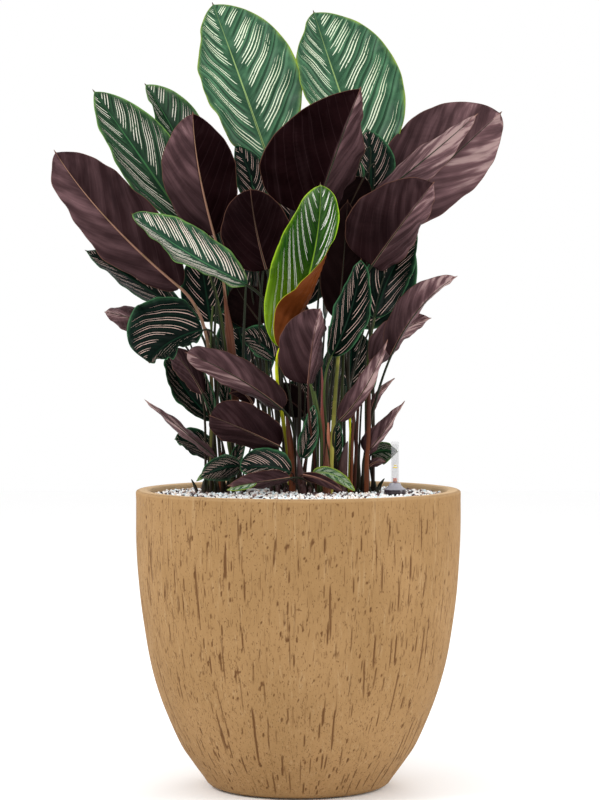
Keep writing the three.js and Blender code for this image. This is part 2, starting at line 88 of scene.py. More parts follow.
# ---------- materials ----------
class Shader:
    """A node material whose nodes are made and linked in one call each."""

    def __init__(self, name, **settings):
        self.material = bpy.data.materials.new(name)
        self.material.use_nodes = True
        self.tree = self.material.node_tree
        self.surface = self.tree.nodes["Principled BSDF"]
        self.set(**settings)

    def put(self, socket, value):
        if isinstance(value, bpy.types.NodeSocket):
            self.tree.links.new(value, socket)
        elif isinstance(value, tuple) and len(value) == 3 and socket.type == "RGBA":
            socket.default_value = (*value, 1)
        else:
            socket.default_value = value

    def set(self, **settings):
        for socket, value in settings.items():
            self.put(self.surface.inputs[socket.replace("_", " ")], value)

    def node(self, kind, inputs=None, out=0, **props):
        node = self.tree.nodes.new("ShaderNode" + kind)
        for key, value in props.items():
            setattr(node, key, value)
        for key, value in (inputs or {}).items():
            self.put(node.inputs[key], value)
        return node.outputs[out]

    def attribute(self, name, out="Vector"):
        return self.node("Attribute", out=out, attribute_name=name)

    def place(self):
        return self.node("TexCoord", out="Object")

    def split(self, vector):
        node = self.tree.nodes.new("ShaderNodeSeparateXYZ")
        self.put(node.inputs[0], vector)
        return node.outputs[0], node.outputs[1], node.outputs[2]

    def join(self, x, y, z):
        return self.node("CombineXYZ", {0: x, 1: y, 2: z})

    def squeezed(self, vector, height):
        """The vector with its height scaled, which draws a noise out along z."""
        return self.node("VectorMath", {0: vector, 1: (1.0, 1.0, height)}, operation="MULTIPLY")

    def math(self, operation, a, b=0.0, clamp=False):
        return self.node("Math", {0: a, 1: b}, operation=operation, use_clamp=clamp)

    def plus(self, a, b, clamp=False):
        return self.math("ADD", a, b, clamp)

    def minus(self, a, b):
        return self.math("SUBTRACT", a, b)

    def times(self, result, *others):
        for other in others:
            result = self.math("MULTIPLY", result, other)
        return result

    def size(self, a):
        return self.math("ABSOLUTE", a)

    def above(self, a, b):
        """1 where a is above b, and 0 elsewhere."""
        return self.math("GREATER_THAN", a, b)

    def biggest(self, result, *others):
        for other in others:
            result = self.math("MAXIMUM", result, other)
        return result

    def ramp(self, value, low, high, to_low=0.0, to_high=1.0):
        """to_low at or below low, to_high at or above high, smooth between."""
        return self.node("MapRange", {0: value, 1: low, 2: high, 3: to_low, 4: to_high},
                         interpolation_type="SMOOTHSTEP")

    def mix(self, factor, a, b):
        return self.node("Mix", {0: factor, 6: a, 7: b}, out=2, data_type="RGBA")

    def noise(self, vector, scale, detail, rough=0.5):
        return self.node("TexNoise", {"Vector": vector, "Scale": scale, "Detail": detail, "Roughness": rough})

    def dice(self, vector):
        """Three random numbers for each vector."""
        node = self.tree.nodes.new("ShaderNodeTexWhiteNoise")
        node.noise_dimensions = "3D"
        self.put(node.inputs["Vector"], vector)
        return self.split(node.outputs["Color"])

    def bump(self, height, strength, distance):
        return self.node("Bump", {"Height": height, "Strength": strength, "Distance": distance})


def upper_side(name, deep, fresh, edge, rib, line, line_far, width, third, fourth, reach, rough=0.4,
               gloss=0.12, gap=0.17, yellowing=0.0):
    """The striped upper side. The leaf attribute holds u, v and the side-vein number, and the reach attribute
    the millimetres from the midrib and from the margin, and a number for each leaf.

    Stripes run beside each side vein, two of them and sometimes a third and a fourth. Their width and the gap
    between them are parts of the step from one side vein to the next, and reach says how far out they end.
    """
    s = Shader(name, Specular_IOR_Level=gloss)
    u, v, vein = s.split(s.attribute("leaf"))
    rib_mm, edge_mm, own = s.split(s.attribute("reach"))
    out = s.size(u)
    right = s.above(u, 0.0)
    place = s.place()
    wander = s.times(s.minus(s.noise(place, 24.0, 0.0), 0.5), 0.30)
    vein = s.plus(vein, wander)
    shifted = s.plus(vein, s.times(right, 0.37))
    group = s.math("FLOOR", shifted)
    across = s.math("FRACT", shifted)
    a, b, c = s.dice(s.join(group, s.times(right, 5.0), 1.0))
    d, e, f = s.dice(s.join(group, s.times(right, 5.0), 2.0))

    def stripe(offset, start, end, present=None, thick=1.0):
        """One stripe of the group, from start to end between the midrib and the margin."""
        near = s.ramp(out, start, s.plus(start, 0.10), 0.5, 1.0)
        far = s.ramp(out, s.minus(end, 0.34), end, 1.0, 0.25)
        half = s.times(near, far, width * thick)
        body = s.ramp(s.size(s.minus(across, offset)), half, s.times(half, 0.55))
        inside = s.times(s.ramp(out, start, s.plus(start, 0.025)), s.ramp(out, end, s.minus(end, 0.03)))
        mask = s.times(body, inside)
        return mask if present is None else s.times(mask, present)

    def begin(chance):
        return s.plus(0.07, s.times(chance, 0.13))

    def close(chance):
        return s.plus(reach[0], s.times(chance, reach[1] - reach[0]))

    first = s.plus(0.38 - gap, s.times(a, 0.10))
    step = s.plus(gap, s.times(b, 0.07))
    second = s.plus(first, step)
    stripes = s.biggest(
        stripe(first, begin(c), close(d)),
        stripe(second, begin(e), close(f)),
        stripe(s.plus(second, s.times(step, 0.95)), begin(d), close(a), s.above(third, e), 0.8),
        stripe(s.minus(first, s.times(step, 0.9)), begin(b), close(c), s.above(fourth, f), 0.7),
    )
    ends = s.times(s.ramp(v, 0.03, 0.07), s.ramp(v, 0.965, 0.92))
    broken = s.ramp(s.noise(s.join(s.times(vein, 5.0), s.times(out, 9.0), own), 2.2, 3.0), 0.30, 0.40)
    grain = s.ramp(s.noise(place, 900.0, 1.0), 0.25, 0.5, 0.7, 1.0)
    stripes = s.times(stripes, ends, s.times(broken, grain))

    # Green: dark beside the stripes, fresher between them, mottled, and light at the margin.
    beside = s.times(s.ramp(s.size(s.minus(across, 0.40)), 0.18, 0.40), s.ramp(out, 0.02, 0.2))
    mottle = s.noise(place, 28.0, 4.0, 0.6)
    freshness = s.plus(s.times(beside, 0.5), s.ramp(mottle, 0.45, 0.75, 0.0, 0.5), clamp=True)
    green = s.mix(freshness, deep, fresh)
    fine = s.noise(s.join(s.times(vein, 12.0), s.times(out, 2.0), own), 3.0, 2.0)
    green = s.mix(s.ramp(fine, 0.3, 0.8, 0.0, 0.3), green, fresh)
    # Painted shade: a darker band in the crease beside each side vein.
    crease_shade = s.ramp(s.size(s.minus(across, s.ramp(out, 0.1, 0.9, 0.86, 0.98))), 0.15, 0.03)
    crease_shade = s.times(crease_shade, s.ramp(out, 0.04, 0.22, 0.0, 0.8))
    green = s.mix(crease_shade, green, tuple(0.5 * part for part in deep))
    green = s.mix(s.ramp(v, 0.58, 0.06, 0.0, yellowing), green, s.mix(0.3, edge, fresh))
    border = s.times(s.ramp(edge_mm, 9.0, 1.5, 0.0, 0.6), s.ramp(mottle, 0.35, 0.6))
    green = s.mix(border, green, s.mix(0.5, fresh, edge))
    green = s.mix(s.ramp(edge_mm, s.ramp(mottle, 0.4, 0.65, 1.5, 4.0), 0.6, 0.0, 0.85), green, edge)

    colour = s.mix(stripes, green, s.mix(s.ramp(out, 0.3, 0.8), line, line_far))
    midrib = s.ramp(rib_mm, s.ramp(v, 0.0, 0.9, 2.3, 0.9), s.ramp(v, 0.0, 0.9, 1.3, 0.4))
    colour = s.mix(s.times(midrib, s.ramp(v, 0.97, 0.5, 0.25, 1.0)), colour, rib)
    colour = s.mix(s.ramp(v, 0.968, 0.985), colour, (0.05, 0.025, 0.012))
    veinlets = s.noise(s.join(s.times(vein, 16.0), s.times(out, 3.0), own), 2.0, 2.0)
    height = s.plus(s.times(veinlets, 0.7), s.times(s.noise(place, 700.0, 2.0), 0.3))
    s.set(Base_Color=colour, Roughness=s.ramp(mottle, 0.3, 0.7, rough - 0.07, rough + 0.08),
          Normal=s.bump(height, 0.35, 0.0006))
    return s.material


def under_side(name, dark, light, streak, rib, edge):
    """The underside: a smooth tint with paler streaks that follow the side veins: painted sheen and painted
    highlights.
    """
    s = Shader(name, Specular_IOR_Level=0.02, Specular_Tint=(1.0, 0.6, 0.7))
    u, v, vein = s.split(s.attribute("leaf"))
    rib_mm, edge_mm, own = s.split(s.attribute("reach"))
    painted_sheen = s.attribute("painted_sheen", "Fac")
    out = s.size(u)
    place = s.place()
    cloud = s.noise(place, 16.0, 3.0, 0.55)
    colour = s.mix(s.ramp(cloud, 0.35, 0.7), dark, light)
    ridge = s.noise(s.join(s.times(vein, 1.25), s.times(out, 1.1), own), 1.0, 2.0, 0.5)
    fine = s.noise(s.join(s.times(vein, 15.0), s.times(out, 2.0), own), 2.0, 2.0)
    uneven = s.times(s.ramp(fine, 0.3, 0.7, 0.85, 1.12), s.ramp(cloud, 0.32, 0.68, 0.8, 1.15))
    # Painted sheen: paler streaks along the side-vein ridges, as strong as the leaf's painted sheen.
    pale = s.times(painted_sheen, s.times(s.ramp(ridge, 0.34, 0.68, 0.55, 1.50), uneven))
    # Painted highlights on the crests of the ridges.
    crest_highlight = s.times(s.ramp(ridge, 0.56, 0.72), s.ramp(fine, 0.40, 0.72, 0.4, 1.0))
    pale = s.plus(pale, s.times(crest_highlight, s.plus(0.035, s.times(painted_sheen, 0.32))), clamp=True)
    colour = s.mix(pale, colour, streak)
    # The palest painted sheen turns to a pale highlight tint.
    colour = s.mix(s.ramp(pale, 0.55, 1.0, 0.0, 0.65), colour, (0.40, 0.29, 0.27))
    main = s.ramp(s.size(s.minus(s.math("FRACT", vein), 0.5)), 0.46, 0.49, 0.0, 0.045)
    colour = s.mix(main, colour, streak)
    colour = s.mix(s.ramp(edge_mm, 1.5, 0.5, 0.0, 0.8), colour, edge)
    midrib = s.ramp(rib_mm, s.ramp(v, 0.0, 0.9, 2.0, 0.7), s.ramp(v, 0.0, 0.9, 1.1, 0.3))
    colour = s.mix(s.times(midrib, s.ramp(v, 0.95, 0.3, 0.35, 0.9)), colour, rib)
    height = s.plus(s.times(fine, 0.7), s.times(s.noise(place, 800.0, 2.0), 0.25))
    s.set(Base_Color=colour, Roughness=s.ramp(cloud, 0.3, 0.7, 0.34, 0.48),
          Normal=s.bump(height, 0.4, 0.0007))
    return s.material


def stalk_skin(name, low, high, streak):
    """Petioles: one tint at the foot, another at the blade, streaked along their length."""
    s = Shader(name, Roughness=0.42, Specular_IOR_Level=0.12)
    u, v, own = s.split(s.attribute("leaf"))
    colour = s.mix(s.ramp(v, 0.25, 0.85), low, high)
    stripe = s.noise(s.join(s.times(u, 9.0), s.times(v, 2.5), own), 2.0, 3.0)
    colour = s.mix(s.ramp(stripe, 0.42, 0.7, 0.0, 0.8), colour, streak)
    blotch = s.noise(s.place(), 55.0, 3.0)
    colour = s.mix(s.ramp(blotch, 0.5, 0.75, 0.0, 0.6), colour, low)
    s.set(Base_Color=colour, Normal=s.bump(stripe, 0.4, 0.0006))
    return s.material


def planter_skin():
    """Sand-coloured composite, drawn upwards, with dark scratches and pores that the rim doesn't have. The
    rim top is paler, partly its own colour and partly a painted highlight, and the inside is painted paler as
    painted light.
    """
    s = Shader("planter_composite", Roughness=0.85, Specular_IOR_Level=0.25)
    place = s.place()
    pit = s.attribute("pit", "Fac")
    rim = s.attribute("rim", "Fac")
    cloud = s.noise(place, 7.0, 4.0, 0.6)
    sand = s.mix(s.ramp(cloud, 0.3, 0.7), (0.300, 0.171, 0.066), (0.350, 0.204, 0.085))
    drawn = s.noise(s.squeezed(place, 0.045), 190.0, 3.0, 0.6)
    sand = s.mix(s.ramp(drawn, 0.52, 0.78, 0.0, 0.45), sand, (0.24, 0.13, 0.048))
    sand = s.mix(s.ramp(drawn, 0.45, 0.25, 0.0, 0.4), sand, (0.46, 0.31, 0.16))
    scratch = s.ramp(s.noise(s.squeezed(place, 0.07), 420.0, 2.0, 0.5), 0.615, 0.675)
    pores = s.biggest(s.ramp(s.noise(s.squeezed(place, 0.55), 330.0, 2.0, 0.5), 0.655, 0.72),
                      s.ramp(s.noise(s.squeezed(place, 0.35), 620.0, 1.0, 0.5), 0.68, 0.74))
    grit = s.noise(place, 650.0, 2.0)
    marks = s.times(s.biggest(s.times(scratch, 0.75), pores), s.minus(1.0, rim))
    colour = s.mix(s.times(marks, 0.86), sand, (0.146, 0.061, 0.017))
    colour = s.mix(s.ramp(grit, 0.35, 0.75, 0.0, 0.35), colour, s.mix(0.5, colour, (0.22, 0.125, 0.05)))
    colour = s.mix(s.ramp(pit, 0.10, 0.60, 0.0, 0.92), colour, (0.112, 0.045, 0.012))
    # Paler rim and inside: on the rim top partly its own colour and partly a painted highlight, on the shaded
    # inside painted light.
    colour = s.mix(s.times(rim, 0.85), colour, (0.66, 0.46, 0.26))
    height = s.minus(s.plus(s.times(grit, 0.25), s.times(drawn, 0.5)), s.times(marks, 1.4))
    s.set(Base_Color=colour, Normal=s.bump(height, 0.55, 0.0011))
    return s.material


def chip_skin():
    """Stone chips, each with a tone of its own. A tone holds from its number up to the next one."""
    s = Shader("gravel_chips", Roughness=0.75, Specular_IOR_Level=0.35)
    ramp = s.tree.nodes.new("ShaderNodeValToRGB")
    ramp.color_ramp.interpolation = "CONSTANT"
    # The two darkest tones stand partly for dark stones and partly for painted shade in the gaps between
    # chips.
    tones = [(0.0, (0.96, 0.96, 0.95)), (0.26, (0.82, 0.94, 0.97)), (0.42, (0.97, 0.91, 0.84)),
             (0.58, (0.80, 0.66, 0.56)), (0.65, (0.34, 0.24, 0.21)), (0.73, (0.96, 0.96, 0.95)),
             (0.83, (0.10, 0.055, 0.055)), (0.92, (0.035, 0.02, 0.022))]
    for at, tone in tones[2:]:
        ramp.color_ramp.elements.new(at)
    for element, (at, tone) in zip(ramp.color_ramp.elements, tones):
        element.position = at
        element.color = (*tone, 1)
    s.put(ramp.inputs[0], s.attribute("tone", "Fac"))
    speck = s.noise(s.place(), 900.0, 3.0)
    s.set(Base_Color=s.mix(s.ramp(speck, 0.50, 0.80, 0.0, 0.22), ramp.outputs[0], (0.34, 0.28, 0.25)),
          Normal=s.bump(speck, 0.5, 0.0006))
    return s.material


def mottled(name, low, high, scale, rough, bump, distance=0.002):
    """A plain rough surface in two tints."""
    s = Shader(name)
    cloud = s.noise(s.place(), scale, 5.0, 0.65)
    s.set(Base_Color=s.mix(s.ramp(cloud, 0.35, 0.65), low, high),
          Roughness=s.ramp(cloud, 0.3, 0.7, rough - 0.06, min(rough + 0.06, 1.0)),
          Normal=s.bump(cloud, bump, distance))
    return s.material


STRIPED = {
    "leaf_striped_light": dict(
        deep=(0.016, 0.054, 0.027), fresh=(0.088, 0.225, 0.115), edge=(0.24, 0.33, 0.03),
        rib=(0.26, 0.38, 0.14), line=(0.80, 0.88, 0.66), line_far=(0.74, 0.82, 0.56),
        width=0.047, third=0.85, fourth=0.6, reach=(0.70, 0.93), gap=0.15),
    "leaf_striped_middle": dict(
        deep=(0.0030, 0.018, 0.008), fresh=(0.034, 0.095, 0.042), edge=(0.14, 0.27, 0.06),
        rib=(0.04, 0.15, 0.05), line=(0.76, 0.74, 0.62), line_far=(0.72, 0.62, 0.54),
        width=0.040, third=0.7, fourth=0.4, reach=(0.74, 0.95)),
    "leaf_striped_close": dict(
        deep=(0.005, 0.026, 0.014), fresh=(0.035, 0.110, 0.060), edge=(0.14, 0.27, 0.06),
        rib=(0.05, 0.17, 0.07), line=(0.84, 0.78, 0.68), line_far=(0.86, 0.68, 0.60),
        width=0.062, third=1.0, fourth=0.8, reach=(0.80, 0.97), gap=0.19),
    "leaf_striped_dark": dict(
        deep=(0.0008, 0.0030, 0.0022), fresh=(0.0042, 0.0175, 0.0110), edge=(0.045, 0.14, 0.06),
        rib=(0.006, 0.028, 0.014), line=(0.72, 0.52, 0.45), line_far=(0.58, 0.40, 0.35),
        width=0.042, third=0.12, fourth=0.04, reach=(0.72, 0.92), rough=0.34, gloss=0.06, gap=0.27),
    "leaf_young_upper": dict(
        deep=(0.005, 0.034, 0.001), fresh=(0.036, 0.150, 0.002), edge=(0.32, 0.50, 0.006),
        rib=(0.26, 0.48, 0.012), line=(0.98, 0.98, 0.90), line_far=(0.96, 0.96, 0.84),
        width=0.060, third=0.15, fourth=0.0, reach=(0.74, 0.88), rough=0.26, gloss=0.25, yellowing=0.55),
}
SKIN = {name: upper_side(name, **settings) for name, settings in STRIPED.items()}
# In the undersides the streak tint is the colour of the painted sheen and of thin lines on the side veins.
for name, *tints in [                    # dark, light, streak, rib, edge
        ("leaf_underside", (0.0042, 0.0010, 0.0012), (0.0095, 0.0030, 0.0034), (0.245, 0.136, 0.146),
         (0.30, 0.15, 0.11), (0.13, 0.06, 0.04)),
        # A far darker copy of leaf_underside: painted shade for leaves deep in the plant.
        ("leaf_underside_shaded", (0.0022, 0.0008, 0.0008), (0.0055, 0.0022, 0.0022), (0.060, 0.032, 0.030),
         (0.045, 0.022, 0.016), (0.05, 0.025, 0.016)),
        ("leaf_young_underside", (0.085, 0.020, 0.004), (0.17, 0.046, 0.012), (0.27, 0.085, 0.03),
         (0.45, 0.35, 0.03), (0.45, 0.45, 0.03))]:
    SKIN[name] = under_side(name, *tints)
for name, *tints in [                    # low, high, streak
        ("petiole_dark", (0.018, 0.009, 0.007), (0.012, 0.018, 0.010), (0.035, 0.040, 0.018)),
        ("petiole_olive", (0.040, 0.046, 0.014), (0.070, 0.100, 0.026), (0.022, 0.038, 0.014)),
        ("petiole_red", (0.060, 0.018, 0.011), (0.030, 0.013, 0.013), (0.100, 0.036, 0.020)),
        ("petiole_young", (0.26, 0.22, 0.016), (0.62, 0.68, 0.012), (0.42, 0.46, 0.014)),
        ("petiole_tan", (0.085, 0.085, 0.018), (0.33, 0.17, 0.12), (0.13, 0.10, 0.040)),
        ("petiole_yellow", (0.30, 0.27, 0.050), (0.085, 0.095, 0.018), (0.13, 0.12, 0.020)),
        ("petiole_rust", (0.130, 0.036, 0.012), (0.050, 0.018, 0.014), (0.070, 0.026, 0.018)),
        ("sheath_salmon", (0.120, 0.045, 0.022), (0.50, 0.20, 0.12), (0.36, 0.10, 0.05)),
        ("rolled_leaf_sheath", (0.038, 0.016, 0.015), (0.055, 0.030, 0.032), (0.075, 0.040, 0.036)),
        ("rolled_leaf_brown", (0.090, 0.030, 0.014), (0.085, 0.026, 0.014), (0.150, 0.060, 0.030)),
        ("rolled_leaf_pink", (0.36, 0.10, 0.055), (0.16, 0.055, 0.048), (0.52, 0.14, 0.14))]:
    SKIN[name] = stalk_skin(name, *tints)


# ---------- meshes ----------
def piece(name, points, faces, materials, slot, body="planted_pot", replaces=(), smooth=True,
          slots_of_faces=None, attributes=None, sharp=None):
    """A mesh object from millimetre points, riding on a body."""
    mesh = bpy.data.meshes.new(name)
    mesh.from_pydata((np.asarray(points, float) * MM).tolist(), [], faces)
    for material in materials:
        mesh.materials.append(material)
    if slots_of_faces is not None:
        mesh.polygons.foreach_set("material_index", np.asarray(slots_of_faces, np.int32))
    mesh.polygons.foreach_set("use_smooth", [smooth] * len(mesh.polygons))
    for key, values in (attributes or {}).items():
        values = np.asarray(values, np.float32)
        kind, field = ("FLOAT_VECTOR", "vector") if values.ndim == 2 else ("FLOAT", "value")
        mesh.attributes.new(key, kind, "POINT").data.foreach_set(field, values.ravel())
    mesh.update()
    if sharp:
        mesh.set_sharp_from_angle(angle=math.radians(sharp))
    made = bpy.data.objects.new(name, mesh)
    bpy.context.scene.collection.objects.link(made)
    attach(made, body)
    if replaces:
        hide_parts(*replaces)


def unit(vectors):
    return vectors / np.linalg.norm(vectors, axis=-1, keepdims=True)


def around(count):
    """That many angles, evenly round a turn."""
    return np.linspace(0, TURN, count, endpoint=False)


def faces_between(rows):
    """Faces between rings of point numbers. A ring that is closed up repeats the number of its one point."""
    faces = []
    for low, high in zip(rows, rows[1:]):
        for i in range(len(low)):
            j = (i + 1) % len(low)
            faces.append(list(dict.fromkeys((low[i], low[j], high[j], high[i]))))
    return faces


def tube_faces(count, sides):
    """Faces of a tube of that many rings, with one more face at each end."""
    rows = np.arange(count * sides).reshape(count, sides).tolist()
    return faces_between(rows) + [rows[0][::-1], rows[-1]]


def tube_marks(along, sides, own):
    """A tube's leaf attribute: the part of a turn, the part of its length, and a number of its own."""
    turned = np.tile(np.linspace(0, 1, sides, endpoint=False), len(along))
    return np.stack([turned, np.repeat(along, sides), np.full(len(turned), float(own))], -1)


def rings(centres, radii, side, front, sides):
    """Points round each centre. radii has a row for each centre and one column, or one for each side."""
    angle = around(sides)[None, :, None]
    outward = side[:, None] * np.cos(angle) + front[:, None] * np.sin(angle)
    return (centres[:, None] + radii[..., None] * outward).reshape(-1, 3)


def tube(centres, radii, left, sides=10):
    """A closed tube round a path, as points and faces. Its first side faces left."""
    along = unit(np.gradient(centres, axis=0))
    front = unit(np.cross(along, left))
    points = rings(centres, radii[:, None], np.cross(front, along), front, sides)
    return points, tube_faces(len(centres), sides)


def lathe(profile, segments, centre):
    """Points and faces turned about a vertical axis through centre. A profile that starts and ends at radius
    0 is closed there by its own points, and any other one closes on itself."""
    points, rows = [], []
    for r, z in profile:
        angles = around(segments) if r > 0 else [0]
        numbers = list(range(len(points), len(points) + len(angles)))
        rows.append(numbers * (segments // len(angles)))
        points += [(centre[0] + r * math.cos(a), centre[1] + r * math.sin(a), z) for a in angles]
    if profile[0][0] > 0:
        rows.append(rows[0])
    return points, faces_between(rows)


def catmull(points, count):
    """A smooth curve through the points."""
    points = np.asarray(points, float)
    t = np.linspace(0, len(points) - 1, count)
    i = np.minimum(t.astype(int), len(points) - 2)
    f = (t - i)[:, None]
    p0, p1, p2, p3 = (points[np.clip(i + step, 0, len(points) - 1)] for step in (-1, 0, 1, 2))
    m1, m2 = (p2 - p0) / 2, (p3 - p1) / 2
    return (p1 * (2 * f**3 - 3 * f**2 + 1) + m1 * (f**3 - 2 * f**2 + f) + p2 * (3 * f**2 - 2 * f**3)
            + m2 * (f**3 - f**2))


# ---------- planter ----------
def planter_marks(side, columns):
    """How deep scratches and pits are, from 0 to about 1, at each row and column of the planter's side."""
    depth = np.zeros((len(side), columns))
    rng = np.random.default_rng(41)
    step = TURN / columns

    def mark(a, z, half_width, half_length, deep, lean):
        """One scratch or pit: a hollow round the angle a and the height z."""
        near = np.where(np.abs(side[:, 1] - z) < half_length * 1.1)[0]
        radius = np.interp(z, side[:, 1], side[:, 0])
        centre = a + lean * (side[near, 1] - z) / radius
        along = np.abs(side[near, 1] - z) / half_length
        reach = int(half_width * 2.2 / (radius * step)) + 2
        for offset in range(-reach, reach + 1):
            column = np.round(centre / step).astype(int) + offset
            away = np.abs(column * step - centre) * radius
            hollow = deep * np.exp(-((away / half_width) ** 2)) * np.clip(1.15 - along**3, 0, 1)
            depth[near, column % columns] = np.maximum(depth[near, column % columns], hollow)

    for _ in range(900):              # scratches
        mark(rng.uniform(0, TURN), rng.uniform(12, 425), rng.uniform(0.95, 1.4),
             4 + rng.gamma(1.7, 5.5), rng.uniform(0.15, 0.85), rng.normal(0, 0.045))
    for _ in range(80):               # long ones
        mark(rng.uniform(0, TURN), rng.uniform(40, 400), rng.uniform(1.1, 1.5), rng.uniform(18, 50),
             rng.uniform(0.4, 1.0), rng.normal(0, 0.035))
    for _ in range(800):              # pits
        mark(rng.uniform(0, TURN), rng.uniform(10, 438), rng.uniform(1.0, 1.6), rng.uniform(2.2, 4.2),
             rng.uniform(0.2, 1.0), 0)
    return depth


def planter():
    """The shell: a marked and slightly uneven side, a pale rounded rim whose top is partly a painted
    highlight, and a plain inside painted pale as painted light.
    """
    columns, rows = 700, 124
    side = catmull(OUTLINE, 400)
    length = np.concatenate([[0], np.cumsum(np.hypot(*np.diff(side, axis=0).T))])
    even = np.linspace(0, length[-1], rows)
    side = np.stack([np.interp(even, length, side[:, 0]), np.interp(even, length, side[:, 1])], 1)
    height = side[:, 1:2]
    angle = around(columns)
    depth = planter_marks(side, columns)
    line = MOULD_LINE + 1.2 * np.sin(3 * angle) + 0.8 * np.sin(11 * angle + 1)
    mould = 0.35 * np.exp(-(((height - line) / 1.6) ** 2)) * (0.55 + 0.45 * np.sin(5 * angle + 2))
    swell = 0.35 * np.sin(7 * angle + height / 31) + 0.25 * np.sin(13 * angle - height / 17)
    fade = np.clip((440 - height) / 8, 0, 1) * np.clip((height - 7) / 8, 0, 1)
    # The side stays 0.35 mm inside the outline, and its marks and swellings fade at its two ends.
    radius = side[:, :1] - 0.35 - (depth + np.maximum(mould, 0) - np.minimum(swell, 0.3) * 0.6 + 0.18) * fade
    darkness = np.clip(depth * 1.1 + mould * 0.5, 0, 1)

    table, numbers, total = [], [], 0
    # The inside rings take full paleness, painted light on the shaded inner wall.
    for r, z, pit, rim in [*((r, z, 0, 0) for r, z in UNDERSIDE), *zip(radius, height, darkness, [0] * rows),
                           *((r, z, 0, rim) for r, z, rim in RIM), *((r, z, 0, 1) for r, z in INSIDE)]:
        count = columns if np.max(r) > 0 else 1
        ring = np.stack(np.broadcast_arrays(r * np.cos(angle), r * np.sin(angle), z, pit, rim), -1)
        table.append(ring[:count])
        numbers.append(list(range(total, total + count)) * (columns // count))
        total += count
    table = np.concatenate(table)
    piece("planter_shell", table[:, :3], faces_between(numbers), [planter_skin()], slot="planter_composite",
          replaces=["planter"], attributes={"pit": table[:, 3], "rim": table[:, 4]})


planter()


# ---------- gravel ----------
def icosahedron():
    golden = (1 + 5**0.5) / 2
    points = [(x, y * golden, 0) for x in (-1, 1) for y in (-1, 1)]
    points = points + [(0, a, b) for a, b, _ in points] + [(b, 0, a) for a, b, _ in points]
    points = np.array(points) / math.hypot(1, golden)
    apart = np.linalg.norm(points[:, None] - points, axis=-1)
    near = apart < apart[apart > 0].min() * 1.01
    faces = []
    for i in range(12):
        for j in range(i + 1, 12):
            for k in range(j + 1, 12):
                if near[i, j] and near[j, k] and near[i, k]:
                    outward = np.dot(np.cross(points[j] - points[i], points[k] - points[i]), points[i]) > 0
                    faces.append((i, j, k) if outward else (i, k, j))
    return points, faces


def gravel():
    """Loose chips over the whole top: a full first course, and a thinner one scattered on it."""
    rng = np.random.default_rng(7)
    shape, sides = icosahedron()
    edge = INNER - 3.4
    points, faces, tones = [], [], []

    def chip(x, y, lift, size):
        """One chip of the size, lifted off the dome of gravel at x and y."""
        turn = np.linalg.qr(rng.normal(size=(3, 3)))[0]
        if np.linalg.det(turn) < 0:
            turn[:, 0] *= -1
        body = shape * rng.uniform(0.72, 1.15, (12, 1))
        flat = size * np.array([1, rng.uniform(0.7, 1), rng.uniform(0.55, 0.9)])
        body = body * flat
        dome = GRAVEL_EDGE + GRAVEL_DOME * (1 - (math.hypot(x, y) / DOME_RADIUS) ** 2)
        faces.extend([[len(points) * 12 + corner for corner in side] for side in sides])
        points.append(body @ turn.T + (x, y, dome + lift))
        tones.append(rng.uniform())

    def free(x, y):
        return math.hypot(x, y) < edge and math.hypot(x - GAUGE[0], y - GAUGE[1]) > GAUGE_CLEARANCE

    for row in range(-42, 43):
        for column in range(-37, 38):
            x = (column + 0.5 * (row % 2)) * CHIP_PITCH + rng.normal(0, 0.9)
            y = row * ROW_PITCH + rng.normal(0, 0.9)
            if free(x, y):
                chip(x, y, rng.uniform(-1.6, 1.2), rng.uniform(2.5, 3.8))
    for _ in range(1300):
        a, r = rng.uniform(0, TURN), edge * math.sqrt(rng.uniform())
        x, y = r * math.cos(a), r * math.sin(a)
        if free(x, y):
            chip(x, y, rng.uniform(1.8, 3.2), rng.uniform(1.8, 3.5))
    piece("gravel_chips", np.concatenate(points), faces, [chip_skin()], slot="gravel", smooth=False,
          attributes={"tone": np.repeat(tones, 12)})


def reskin(material, *nodes):
    """A skin for CAD nodes that are shown as they are."""
    for node in nodes:
        NODES[node].data.materials.clear()
        NODES[node].data.materials.append(material)


gravel()
reskin(mottled("gravel_bed", (0.05, 0.035, 0.030), (0.42, 0.38, 0.36), 160.0, 0.9, 0.8), "gravel_layer")
reskin(mottled("potting_soil", (0.012, 0.007, 0.004), (0.055, 0.032, 0.020), 120.0, 0.95, 0.9),
       "potting_soil")
reskin(mottled("clay_balls", (0.14, 0.055, 0.026), (0.33, 0.16, 0.085), 85.0, 0.9, 0.9), "drainage_layer")
reskin(mottled("crown_fibre", (0.020, 0.010, 0.008), (0.10, 0.045, 0.026), 140.0, 0.8, 0.8),
       "crown_left", "crown_middle", "crown_right", "crown_back")


# ---------- water gauge ----------
def clear_plastic():
    s = Shader("gauge_clear", Base_Color=(0.46, 0.46, 0.48), Specular_IOR_Level=0.3, Alpha=0.18)
    s.set(Roughness=s.ramp(s.noise(s.place(), 120.0, 2.0), 0.3, 0.7, 0.12, 0.25))
    return s.material


def smoked_plastic():
    """The collar: dark where it stands in the gravel and pale above."""
    s = Shader("gauge_smoked", IOR=1.45, Transmission_Weight=0.55)
    up = s.split(s.place())[2]
    s.set(Base_Color=s.mix(s.ramp(up, 0.4462, 0.4475), (0.045, 0.030, 0.040), (0.60, 0.59, 0.66)),
          Roughness=s.ramp(s.noise(s.place(), 200.0, 2.0), 0.3, 0.7, 0.12, 0.25))
    return s.material


def marker_plastic():
    """The float and its mark: dark red below, then an orange band under a red top."""
    s = Shader("gauge_red", Roughness=0.35)
    up = s.split(s.place())[2]
    mark = s.mix(s.ramp(up, 0.4618, 0.4628), (0.66, 0.16, 0.004), (0.62, 0.025, 0.006))
    s.set(Base_Color=s.mix(s.ramp(up, 0.4590, 0.4602), (0.26, 0.003, 0.006), mark))
    return s.material


